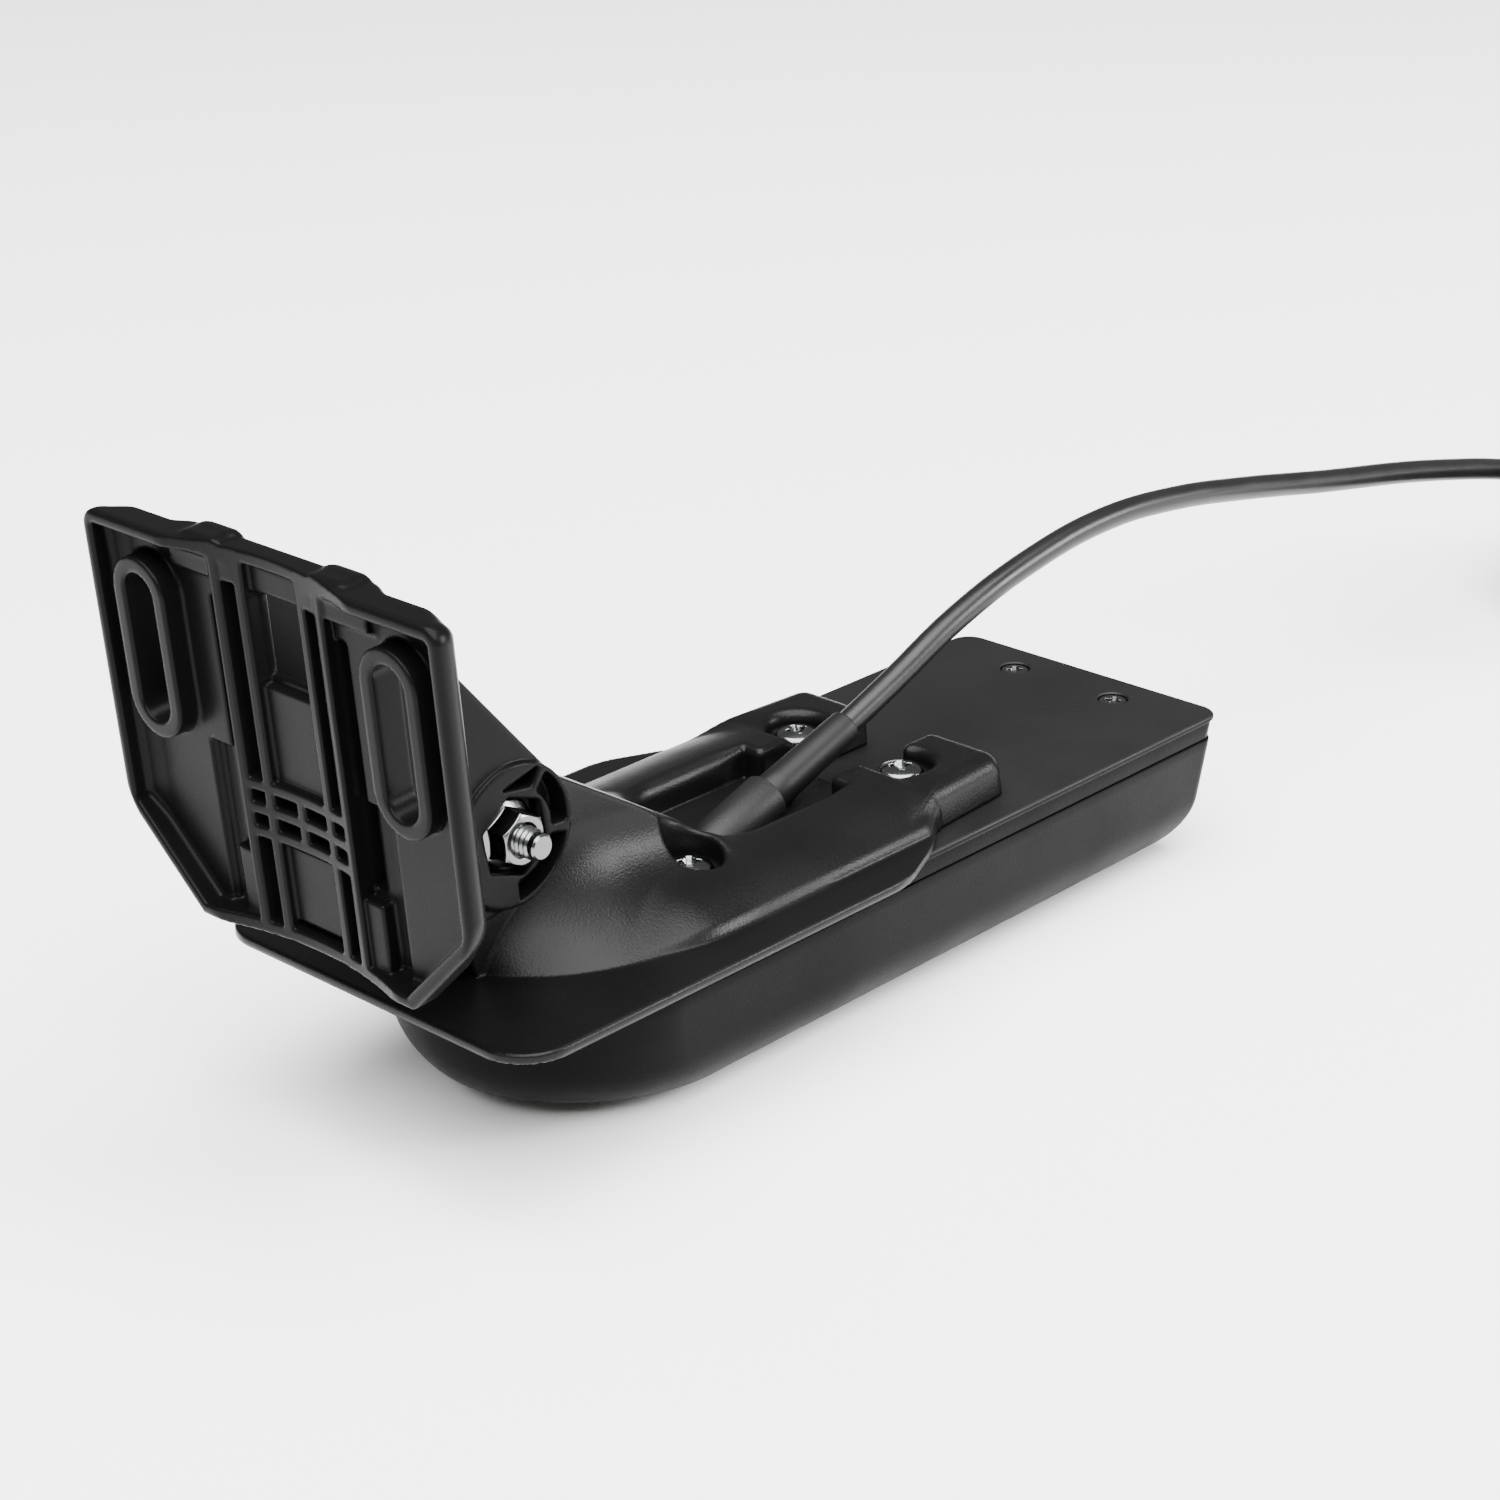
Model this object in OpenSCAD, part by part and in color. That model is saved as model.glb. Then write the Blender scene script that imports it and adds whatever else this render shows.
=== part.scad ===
// Transom-mount sonar transducer: potted housing, saddle mount, tilting transom bracket and cable.
// Millimetres. +X points aft, +Y to starboard, +Z up. The origin is the middle of the flat sounding face.

/* [Housing] */
// Length of the housing at its top edge
body_l = 174; // [150:1:200]
// Width of the housing at its top edge
body_w = 63; // [58:1:70]
// Height of the housing with its cover
body_h = 29; // [26:0.5:34]
// Wall and floor thickness of the housing
shell_wall = 3.5; // [2.5:0.1:4.5]
// Radius of the long bottom edges
bottom_r = 12; // [8:0.5:14]
// Draft of the side walls in degrees
side_draft = 6.3; // [2:0.1:8]
// Length over which the keel line rises to the bow
bow_rise_l = 24; // [16:1:32]
// Height over which the keel line rises to the bow
bow_rise_h = 19.5; // [15:0.5:23]
// Length of the rounded nose in plan
nose_l = 28.5; // [20:0.5:40]
// Corner radius of the square stern
stern_r = 4; // [2:0.5:6]

/* [Cover] */
// Height of the cover, from the seam to the deck
cover_h = 4.8; // [4:0.1:7]
// Depth of the shadow groove under the cover's lip
groove_depth = 0.6; // [0.3:0.1:1]
// Thickness of the cover's lip above the groove
lip_h = 1.6; // [1:0.1:2.5]
// Spacing of the two filler plugs
plug_spacing = 24; // [18:1:32]
// Diameter of a filler plug
plug_d = 5.6; // [4:0.1:7]
// Distance of the filler plugs from the stern
plug_inset = 8.7; // [6:0.1:14]
// Radius of the slanted gland stub
gland_r = 4.6; // [4:0.1:5.6]
// Slant of the gland above the deck in degrees
gland_angle = 18.5; // [12:0.5:26]

/* [Saddle] */
// Thickness of the flange
flange_t = 1.8; // [1.4:0.1:2.6]
// Half the width of the flange
flange_half_w = 37.5; // [35:0.5:42]
// How far the flange reaches ahead of the housing
flange_reach = 13; // [8:0.5:20]
// Corner radius of the flange
flange_r = 9; // [5:0.5:14]
// Height of the block above the deck
block_h = 8; // [7:0.1:10]
// Half the width of the block at its foot
block_half_w = 29.5; // [27:0.5:31]
// Length of the saddle's block along the housing
block_l = 117.5; // [112:0.5:124]
// Length of the flare's round nose in plan
flare_nose_l = 41.5; // [34:0.5:48]
// Height of the flare from the flange to the neck
flare_h = 22; // [18:0.5:25]
// Length of the block's round nose in plan, under the flare
block_nose_l = 30; // [24:0.5:33]
// Half the width of the block's aft end
block_aft_half_w = 25; // [21:0.5:26]
// Saddle screw spacing along the housing
screw_pitch_x = 54; // [48:1:60]
// Saddle screw spacing across the housing
screw_pitch_y = 25; // [24:0.5:28]
// Thread diameter of the saddle screws
screw_d = 4; // [3:0.5:5]
// Head diameter of the saddle screws
screw_head_d = 8.4; // [7:0.1:9.5]
// Half the width of the neck between the bracket's ears
neck_half_w = 10.6; // [9:0.1:12]
// Radius of the neck's pivot barrel
barrel_r = 11; // [9:0.5:11.5]
// Slope of the neck's back in degrees
neck_slope = 32; // [28:0.5:36]

/* [Bracket] */
// Height of the pivot above the deck
pivot_h = 28; // [26:0.5:32]
// Distance of the pivot from the housing's bow
pivot_inset = 4.6; // [0:0.1:10]
// Lean of the bracket at rest in degrees, top forward
bracket_lean = 4.4; // [0:0.1:8]
// Distance from the pivot to the bracket's mounting face
plate_dist = 29.6; // [28:0.1:34]
// Thickness of the bracket plate in its middle
plate_t = 7.5; // [7:0.1:9]
// Thickness of the bracket plate's wings
wing_t = 5.8; // [5.4:0.1:6.6]
// Half the width of the bracket plate
plate_half_w = 40.8; // [38.5:0.1:44]
// Plate height above the pivot
plate_top = 51.6; // [49:0.2:58]
// Plate depth below the pivot
plate_bottom = 14.8; // [13:0.2:16]
// Width of the plate's rim
plate_wall = 2.2; // [1.8:0.1:2.6]
// Thickness of the plate's web
web_t = 1.5; // [1.2:0.1:2]
// Depth of the hollow down the middle of the mounting face
hollow_depth = 3.4; // [2:0.1:3.8]
// Half the width of that hollow
hollow_half_w = 21.4; // [19:0.2:22]
// Spacing of the two slots
slot_spacing = 57.6; // [52:0.2:60]
// Width of a slot
slot_w = 7; // [5:0.1:8]
// Length of a slot, end to end
slot_l = 25; // [18:0.5:28]
// Height of the slots' middle above the pivot
slot_h = 30.7; // [28:0.1:34]
// Wall round a slot
slot_wall = 2.7; // [2:0.1:3.4]
// Thickness of an ear
ear_t = 7.5; // [6:0.1:9]
// Radius of the ear's round end
ear_r = 12; // [11.5:0.1:14]
// Side gap between an ear and the neck
ear_gap = 0.4; // [0.3:0.05:0.8]

/* [Pivot bolt] */
// Diameter of the pivot bolt
bolt_d = 5; // [4:0.5:6]
// Clearance on the bolt's radius in the bores
bolt_clearance = 0.08; // [0.03:0.01:0.1]
// Width across flats of bolt head and nut
hex_af = 8; // [7:0.1:9]
// Diameter of the flange on head and nut
hex_flange_d = 11.4; // [10:0.1:11.8]
// Width across flats of the recess for the nut
recess_af = 12.2; // [12:0.1:13]
// Depth of that recess
recess_depth = 3; // [2:0.1:4]

/* [Cable] */
// Diameter of the cable
cable_d = 4.8; // [4:0.1:5.6]
// Length of the strain relief
boot_l = 22; // [16:0.5:28]
// Turns of the coil side by side
coil_turns = 5; // [3:1:6]
// Layers of the coil
coil_layers = 6; // [4:1:8]
// Pitch of the coil's turns
coil_pitch = 4.9; // [4.8:0.1:5.6]
// Middle radius of the coil
coil_mid_r = 32.5; // [30:0.5:42]
// Thickness of the strap round the coil
tie_t = 1; // [0.6:0.1:1.4]
// Width of that strap
tie_w = 12; // [8:1:20]

/* [Connector] */
// Outer diameter of the locking collar
collar_d = 18; // [15:0.5:22]
// Length of the locking collar
collar_l = 20; // [16:0.5:26]
// Diameter of the grip at its thick end
grip_d = 15; // [12:0.5:17]
// Length of the grip behind the collar
grip_l = 30; // [22:1:40]
// Number of contact pins in the ring
pin_count = 7; // [4:1:9]

/* [Hidden] */
$fn = 48;

black = "#1c1d1f";
dark = "#26282a";
steel = "#c9cbcc";
ceramic = "#e8e4d8";
resin = "#3a3a34";
brass = "#c8a24a";

bow_x = -body_l / 2;
stern_x = body_l / 2;
seam_z = body_h - cover_h;
draft_slope = tan(side_draft);
nose_power = 1.8;
fit_gap = 0.05;
through = 1;

pivot_x = bow_x + pivot_inset;
pivot_z = body_h + pivot_h;
flange_x = bow_x - flange_reach;
flange_top = body_h + flange_t;
block_top = body_h + block_h;
block_tip_x = bow_x + 0.5;
block_side_x = block_tip_x + flare_nose_l;
block_aft_x = block_tip_x + block_l;
block_taper_x = block_aft_x - 27;
block_slope = [[0, 0], [0.29, 0], [0.4, 0.8], [0.5, 2.5], [0.675, 6.5], [0.8, 10.5], [0.91, 13.5], [1, 16.5]];
tail_fore_x = block_taper_x + 5;
tail_step = 3;
tail_levels = [[0, 0], [6.3, 0.7], [7.4, 1.1], [7.8, 2]];
toe_half_w = block_half_w + 1.5;
screw_aft_x = block_aft_x - 15.5;
screw_fore_x = screw_aft_x - screw_pitch_x;
screw_sink = 3.7;
screw_seat_z = block_top - screw_sink;
screw_length = 10.5;
screw_clearance = 0.2;
pocket_r = screw_head_d / 2 + 1.5;
channel_fore_x = block_aft_x - 53;
channel_step_x = block_aft_x - 31;
channel_wide = screw_pitch_y / 2 - 0.3;
channel_narrow = screw_pitch_y / 2 - pocket_r + 1.4;
flare_power = 2.6;
flare_nose_lean = 4;
flare_side_lean = 20;
flare_aft_x = block_side_x + 26;
flare_aft_lean = 38;
flare_corner = 4;
neck_foot_x = block_side_x + 16;

ear_in = neck_half_w + ear_gap;
ear_out = ear_in + ear_t;
hub_step = 1;
plate_front = -plate_dist;
plate_back = plate_front + plate_t;
wing_back = plate_front + wing_t;
hollow_r = (pow(hollow_half_w, 2) + pow(hollow_depth, 2)) / (2 * hollow_depth);
plate_foot_half_w = 25;
plate_knee_r = 10;
plate_corner_r = 4;
plate_front_r = 1.2;
plate_back_r = 2.2;
middle_half_w = 21;
middle_slope = 3;
tray_depth = wing_t - web_t;
tray_rise = 2.8;
tray_flat_half_w = 26;
tray_rise_w = 8;
rib_t = 2;
rib_ys = [7.1, 12];
rib_zs = [3.6, 7.7, 11.8];
panel_zs = [[-11.5, 1.8], [13, 29], [44.6, 49]];
panel_sink = 1.2;
block_half_gap = rib_ys[1] + rib_t / 2;
block_w = 4.2;
block_sink = 2.2;
block_top_z = -1;
core_w = 2.8;
core_z = [1, 42];
core_x = -16;
window_half_w = rib_ys[0] - rib_t / 2;
window_z = [30.2, 43.6];
ear_crest = 0.6;
ear_pocket_depth = 4;
ear_pocket_in = recess_af * 0.68;
ear_pocket_out = ear_r - 1.3;
ear_pocket_spans = [[-86, -20], [-8, 46]];
nut_h = 5;
hex_flange_t = 1.3;
bolt_tip = 4;
seat_y = ear_out - recess_depth;
bore_r = bolt_d / 2 + bolt_clearance;

gland_x = channel_step_x - 6;
gland_l = 16;
gland_bore = 8;
boot_spigot = 7;
gland_z = body_h + 4;
boot_d = cable_d + 2.4;
plug_seat = 1.8;
boot_end_x = gland_x + boot_l * cos(gland_angle);
boot_end_z = gland_z + boot_l * sin(gland_angle);

cavity_floor = shell_wall;
disc_r = 11;
disc_h = 7;
disc_x = stern_x - 29;
bar_w = 5;
bar_h = 7;
bar_fore_x = bow_x + 29;
bar_aft_x = disc_x - disc_r - 13;
bar_l = bar_aft_x - bar_fore_x;
side_bar_y = 14;
pad_t = 3;
board_t = 1.6;
board_w = 32;
board_overhang = 4;
board_lift = 2;
board_z = cavity_floor + bar_h + pad_t + board_lift;
post_r = 2.4;
post_y = side_bar_y / 2;
sensor_r = 2.4;
sensor_h = 5;
sensor_x = bar_fore_x - 6;

coil_x = 270;
coil_outer_turn = coil_mid_r + (coil_turns - 1) * coil_pitch / 2;
coil_y = -coil_outer_turn;
coil_in_r = coil_mid_r - coil_turns * coil_pitch / 2;
coil_out_r = coil_mid_r + coil_turns * coil_pitch / 2;
coil_z = tie_t;
coil_h = coil_layers * coil_pitch;
coil_top_z = coil_z + coil_h - coil_pitch / 2;
coil_low_z = coil_z + coil_pitch / 2;
tail_l = 44;
grip_x = coil_x + tail_l;
plug_z = collar_d / 2;
insert_r = collar_d / 2 - 2.2;
insert_h = 10;
pin_l = 6;

// Route of the cable from the strain relief to the coil, then from the coil to the connector
lead_route = [[boot_end_x, 0, boot_end_z], [27, 0, 44.5], [46, 0, 52], [69, 0, 57.5], [90, 0, 59.5],
    [112, 0, 58], [136, 0, 54], [166, 0, 48], [198, 0, 42], [225, 0, 36], [250, 0, 30],
    [coil_x, 0, coil_top_z]];
tail_route = [[coil_x, 0, coil_low_z], [grip_x - tail_l * 0.72, 0, coil_low_z + 0.5],
    [grip_x - tail_l * 0.4, 0, plug_z - 2.4], [grip_x - tail_l * 0.18, 0, plug_z - 0.5], [grip_x, 0, plug_z]];

// Unit vector and sweep helpers
function unit(v) = v / norm(v);
function last(list) = list[len(list) - 1];
function spline(a, b, c, d, t) = 0.5 * (2 * b + (c - a) * t + (2 * a - 5 * b + 4 * c - d) * t * t
    + (3 * b - a - 3 * c + d) * t * t * t);
function smooth_route(p, steps) = concat([for (i = [0 : len(p) - 2]) for (k = [0 : steps - 1])
    spline(p[max(i - 1, 0)], p[i], p[i + 1], p[min(i + 2, len(p) - 1)], k / steps)], [last(p)]);

// Closed skin over a stack of rings with equal point counts, each running clockwise seen from above
module skin(rings) {
    n = len(rings[0]);
    top = (len(rings) - 1) * n;
    sides = [for (k = [0 : len(rings) - 2]) for (i = [0 : n - 1])
        [k * n + i, k * n + (i + 1) % n, (k + 1) * n + (i + 1) % n, (k + 1) * n + i]];
    polyhedron([for (r = rings) each r],
        concat([[for (i = [n - 1 : -1 : 0]) i]], sides, [[for (i = [0 : n - 1]) top + i]]), 2);
}

// Round tube of radius r swept along a route
module tube(route, r, sides_n) {
    p = smooth_route(route, 3);
    m = len(p) - 1;
    skin([for (i = [0 : m])
        let (d = unit(p[min(i + 1, m)] - p[max(i - 1, 0)]),
            u = unit(cross([0, 0.01, 1], d)),
            v = cross(d, u))
        [for (j = [0 : sides_n - 1]) p[i] + r * (cos(360 * j / sides_n) * u - sin(360 * j / sides_n) * v)]]);
}

// Both mirrored halves of an outline that starts on the nose at y = 0
function closed_outline(half, z) = [for (p = half) [p[0], p[1], z],
    for (i = [len(half) - 1 : -1 : 1]) [half[i][0], -half[i][1], z]];

// Horizontal section of the housing at height z, inset by a wall
function edge_round(z) = z < bottom_r ? bottom_r - sqrt(pow(bottom_r, 2) - pow(bottom_r - z, 2)) : 0;
function keel_rise(z) = z < bow_rise_h ? bow_rise_l * (1 - sqrt(1 - pow((bow_rise_h - z) / bow_rise_h, 2))) : 0;
function hull_ring(z, inset = 0) =
    let (taper = draft_slope * (body_h - z) + edge_round(z) + inset,
        w = body_w / 2 - taper,
        nose = bow_x + keel_rise(z) + inset,
        stern = stern_x - taper,
        e = 2 / nose_power,
        steps = 14)
    closed_outline(concat(
        [for (j = [0 : steps]) let (t = 90 * j / steps)
            [nose + nose_l * (1 - pow(cos(t), e)), w * pow(sin(t), e)]],
        [for (t = [0 : 22.5 : 90]) [stern - stern_r + stern_r * sin(t), w - stern_r + stern_r * cos(t)]]), z);

outer_levels = concat([for (a = [0 : 15 : 90]) bottom_r * (1 - cos(a))], [bow_rise_h, seam_z]);
inner_levels = [seam_z, bow_rise_h, bottom_r, bottom_r * 0.6, cavity_floor];

module along_gland(from) {
    translate([gland_x, 0, gland_z])
        rotate([0, 90 - gland_angle, 0])
            translate([0, 0, from])
                children();
}

module at_screws() {
    for (x = [screw_fore_x, screw_aft_x])
        for (y = [-screw_pitch_y / 2, screw_pitch_y / 2])
            translate([x, y, 0])
                children();
}

module at_plugs() {
    for (y = [-plug_spacing / 2, plug_spacing / 2])
        translate([stern_x - plug_inset, y, body_h])
            children();
}

module at_posts() {
    for (x = [bar_fore_x, bar_aft_x])
        for (y = [-post_y, post_y])
            translate([x, y, 0])
                children();
}

// Lower moulding with its cavity and the posts that carry the board
module housing_shell() {
    color(black) {
        skin(concat([for (z = outer_levels) hull_ring(z)], [for (z = inner_levels) hull_ring(z, shell_wall)]));
        at_posts()
            translate([0, 0, cavity_floor - 0.5])
                cylinder(h = board_z - cavity_floor + 0.5, r = post_r);
    }
}

// Flat lid: recessed seam, lip, rounded deck edge, gland stub, plug recesses and screw pilots
module top_cover() {
    pilot_depth = screw_length - (screw_seat_z - body_h) + through;
    lip_z = body_h - lip_h;
    color(black)
        difference() {
            union() {
                skin([hull_ring(seam_z + fit_gap, groove_depth), hull_ring(lip_z, groove_depth), hull_ring(lip_z),
                    hull_ring(body_h - 0.8), hull_ring(body_h - 0.25, 0.25), hull_ring(body_h, 0.8)]);
                intersection() {
                    along_gland(-gland_l)
                        cylinder(h = gland_l, r = gland_r);
                    translate([gland_x - 2 * gland_l, -gland_r, seam_z + 1])
                        cube([3 * gland_l, 2 * gland_r, 2 * gland_l]);
                }
            }
            at_plugs()
                translate([0, 0, -plug_seat])
                    cylinder(h = plug_seat + through, d = plug_d + 2 * fit_gap);
            at_screws()
                translate([0, 0, body_h - pilot_depth])
                    cylinder(h = pilot_depth + through, d = screw_d + 2 * fit_gap);
            along_gland(-gland_bore)
                cylinder(h = gland_bore + through, d = cable_d + 2 * fit_gap);
        }
}

// Two small filler plugs, each with a cross slot
module fill_plugs() {
    plug_h = 1.5;
    slot = [plug_d * 0.6, 0.9, 0.7];
    color(dark)
        at_plugs()
            translate([0, 0, -plug_seat])
                difference() {
                    cylinder(h = plug_h, d = plug_d);
                    for (a = [0, 90])
                        rotate(a)
                            translate([-slot[0] / 2, -slot[1] / 2, plug_h - slot[2]])
                                cube([slot[0], slot[1], slot[2] + through]);
                }
}

module side_scan_elements() {
    color(ceramic)
        for (s = [-1, 1])
            translate([bar_fore_x, s * side_bar_y - bar_w / 2, cavity_floor])
                cube([bar_l, bar_w, bar_h]);
}

module down_scan_element() {
    color(ceramic)
        translate([bar_fore_x, -bar_w / 2, cavity_floor])
            cube([bar_l, bar_w, bar_h]);
}

module chirp_element() {
    color(ceramic)
        translate([disc_x, 0, cavity_floor])
            cylinder(h = disc_h, r = disc_r);
}

// Soft pads on the back of each ceramic
module element_backing() {
    color("#6b5a44") {
        for (y = [-side_bar_y, 0, side_bar_y])
            translate([bar_fore_x, y - bar_w / 2, cavity_floor + bar_h])
                cube([bar_l, bar_w, pad_t]);
        translate([disc_x, 0, cavity_floor + disc_h])
            cylinder(h = pad_t, r = disc_r);
    }
}

module circuit_board() {
    color("darkgreen")
        translate([bar_fore_x - board_overhang, -board_w / 2, board_z])
            cube([bar_l + 2 * board_overhang, board_w, board_t]);
}

module temperature_sensor() {
    color(brass)
        translate([sensor_x, 0, cavity_floor])
            union() {
                cylinder(h = sensor_h, r = sensor_r);
                translate([0, 0, sensor_h])
                    sphere(r = sensor_r);
            }
}

// Resin that fills the cavity round everything in it
module potting_block() {
    color(resin)
        difference() {
            skin([for (i = [len(inner_levels) - 1 : -1 : 0]) hull_ring(inner_levels[i], shell_wall + fit_gap)]);
            side_scan_elements();
            down_scan_element();
            chirp_element();
            element_backing();
            circuit_board();
            temperature_sensor();
            at_posts()
                cylinder(h = board_z, r = post_r + fit_gap);
            at_screws()
                translate([0, 0, screw_seat_z - screw_length - through])
                    cylinder(h = screw_length, d = screw_d + 2 * fit_gap);
        }
}

// Plan of the saddle's flange
module flange_plan() {
    taper_x = block_taper_x - 15;
    difference() {
        polygon([[flange_x, -flange_half_w], [taper_x, -flange_half_w], [block_taper_x - 0.5, -toe_half_w],
            [tail_fore_x, tail_step - block_half_w], [tail_fore_x, block_half_w - tail_step],
            [block_taper_x - 0.5, toe_half_w], [taper_x, flange_half_w], [flange_x, flange_half_w]]);
        for (s = [-1, 1])
            translate([flange_x, s * flange_half_w])
                difference() {
                    square(2 * flange_r, center = true);
                    translate([flange_r, -s * flange_r])
                        circle(flange_r);
                }
    }
}

// Section of the saddle's sloping block at height z, inset from its foot
function block_ring(z, inset) =
    let (w = block_half_w - inset)
    closed_outline(concat(
        [for (a = [0 : 7.5 : 90]) [block_side_x - (block_nose_l - inset) * cos(a), w * sin(a)]],
        [[block_taper_x, w], [tail_fore_x, w - tail_step]]), z);

// Section of the upright tail behind the slope
function tail_ring(z, inset) =
    let (fore = tail_fore_x - 1.5,
        fore_w = block_half_w - tail_step - inset,
        aft = block_aft_x - inset,
        aft_w = block_aft_half_w - inset)
    closed_outline([[fore, 0], [fore, fore_w], [aft - 1, aft_w], [aft, aft_w - 1]], z);

// Section of the flare that sweeps up from the flange to the neck, t from 0 at its foot to 1
function flare_ring(t) =
    let (w = neck_half_w - 0.1 + (block_half_w - neck_half_w) * pow(1 - t, flare_power),
        nose = block_tip_x + flare_nose_lean * t,
        side = block_side_x - flare_side_lean * t,
        aft = flare_aft_x - flare_aft_lean * t)
    closed_outline(concat(
        [for (a = [0 : 7.5 : 90]) [side - (side - nose) * cos(a), w * sin(a)]],
        [for (a = [0 : 22.5 : 90]) [aft, w] + flare_corner * [sin(a) - 1, cos(a) - 1]]), flange_top + flare_h * t);

// Side view of the neck: pivot barrel, sloping back and front web
module neck_profile() {
    union() {
        translate([pivot_x, pivot_z])
            circle(barrel_r);
        polygon([[pivot_x + barrel_r * sin(neck_slope), pivot_z + barrel_r * cos(neck_slope)],
            [neck_foot_x, block_top - 0.5], [neck_foot_x, body_h + flange_t / 2],
            [block_tip_x + 2, body_h + flange_t / 2], [pivot_x - barrel_r, pivot_z]]);
    }
}

// Saddle mount: flange, block, flared neck and barrel, with channel, screw pockets and bores
module mount_saddle() {
    over = pivot_h + barrel_r;
    color(black)
        difference() {
            union() {
                translate([0, 0, body_h])
                    linear_extrude(flange_t)
                        flange_plan();
                skin([for (level = block_slope) block_ring(body_h + level[0] * block_h, level[1])]);
                skin([for (level = tail_levels) tail_ring(body_h + level[0], level[1])]);
                skin([for (t = [0 : 0.1 : 1]) flare_ring(t)]);
                translate([0, neck_half_w, 0])
                    rotate([90, 0, 0])
                        linear_extrude(2 * neck_half_w)
                            neck_profile();
            }
            translate([channel_fore_x, -channel_wide, body_h - through])
                cube([channel_step_x - channel_fore_x, 2 * channel_wide, over]);
            translate([channel_fore_x, 0, body_h - through])
                cylinder(h = over, r = channel_wide);
            translate([channel_step_x - through, -channel_narrow, body_h - through])
                cube([block_aft_x - channel_step_x + 2 * through, 2 * channel_narrow, over]);
            at_screws()
                translate([0, 0, screw_seat_z])
                    cylinder(h = over, r = pocket_r);
            at_screws()
                translate([0, 0, body_h - through])
                    cylinder(h = block_h, d = screw_d + 2 * screw_clearance);
            translate([pivot_x, 0, pivot_z])
                rotate([90, 0, 0])
                    cylinder(h = 4 * neck_half_w, r = bore_r, center = true);
        }
}

// Four pan-head screws
module saddle_screws() {
    head_h = 2.6;
    recess = [screw_head_d * 0.5, 1.1, 1.4];
    color(steel)
        at_screws()
            translate([0, 0, screw_seat_z])
                difference() {
                    union() {
                        cylinder(h = head_h * 0.6, d = screw_head_d);
                        translate([0, 0, head_h * 0.6])
                            cylinder(h = head_h * 0.4, d1 = screw_head_d, d2 = screw_head_d * 0.7);
                        translate([0, 0, -screw_length])
                            cylinder(h = screw_length, d = screw_d);
                    }
                    for (a = [45, 135])
                        rotate(a)
                            translate([-recess[0] / 2, -recess[1] / 2, head_h - recess[2]])
                                cube([recess[0], recess[1], recess[2] + through]);
                }
}

// Places the bracket's own frame: pivot at its origin, plate upright
module in_bracket() {
    translate([pivot_x, 0, pivot_z])
        rotate([0, -bracket_lean, 0])
            children();
}

// Extrudes a plan drawn in Y and Z along X, from x to x + t
module along_x(x, t) {
    translate([x, 0, 0])
        rotate([90, 0, 90])
            linear_extrude(t)
                children();
}

// Point on a circle, and points along an arc
function polar(r, a) = r * [cos(a), sin(a)];
function arc(centre, r, from, to, steps) =
    [for (k = [0 : steps]) centre + polar(r, from + (to - from) * k / steps)];

// Half of the plate's shield outline, from its foot to its top, inset from the edge
function shield_half(inset) =
    let (w = plate_half_w - inset,
        knee = plate_knee_r - inset,
        corner = plate_corner_r - 0.8 * inset,
        foot = plate_foot_half_w - inset * tan(22.5),
        bottom = inset - plate_bottom)
    concat([[foot, bottom]],
        arc([w - knee, bottom + w - foot + knee * tan(22.5)], knee, -45, 0, 6),
        arc([w - corner, plate_top - inset - corner], corner, 0, 90, 6));

function shield_outline(inset) =
    let (half = shield_half(inset))
    concat(half, [for (i = [len(half) - 1 : -1 : 0]) [-half[i][0], half[i][1]]]);

module shield(inset = 0) {
    polygon(shield_outline(inset));
}

// Plate with rounded front and back edges
function plate_ring(x, inset) =
    let (outline = shield_outline(inset))
    [for (i = [len(outline) - 1 : -1 : 0]) [x, outline[i][0], outline[i][1]]];

module wings() {
    front = plate_front + plate_front_r;
    back = wing_back - plate_back_r;
    skin(concat(
        [for (a = [0 : 30 : 90]) plate_ring(front - plate_front_r * cos(a), plate_front_r * (1 - sin(a)))],
        [for (a = [0 : 22.5 : 90]) plate_ring(back + plate_back_r * sin(a), plate_back_r * (1 - cos(a)))]));
}

// Upright slot shape
module obround(length, width) {
    square([width, length - width], center = true);
    for (s = [-1, 1])
        translate([0, s * (length - width) / 2])
            circle(d = width);
}

module at_slots() {
    for (s = [-1, 1])
        translate([s * slot_spacing / 2, slot_h])
            children();
}

// Side view of an ear: round end, straight top edge up to the plate's top, short lower edge
module ear_profile() {
    crest = [plate_back, plate_top + ear_crest];
    reach = acos(ear_r / norm(crest));
    touch = atan2(crest[1], crest[0]) - reach;
    root_x = plate_back - web_t / 2;
    foot_z = plate_wall / 2 - plate_bottom;
    union() {
        circle(ear_r);
        polygon([[0, -ear_r], [0, 0], polar(ear_r, touch), crest, [root_x, crest[1] - ear_crest],
            [root_x, foot_z], [plate_back + web_t, foot_z]]);
    }
}

// Wall on the port side of the bracket: gusset with a raised round hub
module ear_wall() {
    translate([0, -ear_in, 0])
        rotate([90, 0, 0]) {
            linear_extrude(ear_t - hub_step)
                ear_profile();
            cylinder(h = ear_t, r = ear_r);
        }
}

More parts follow.
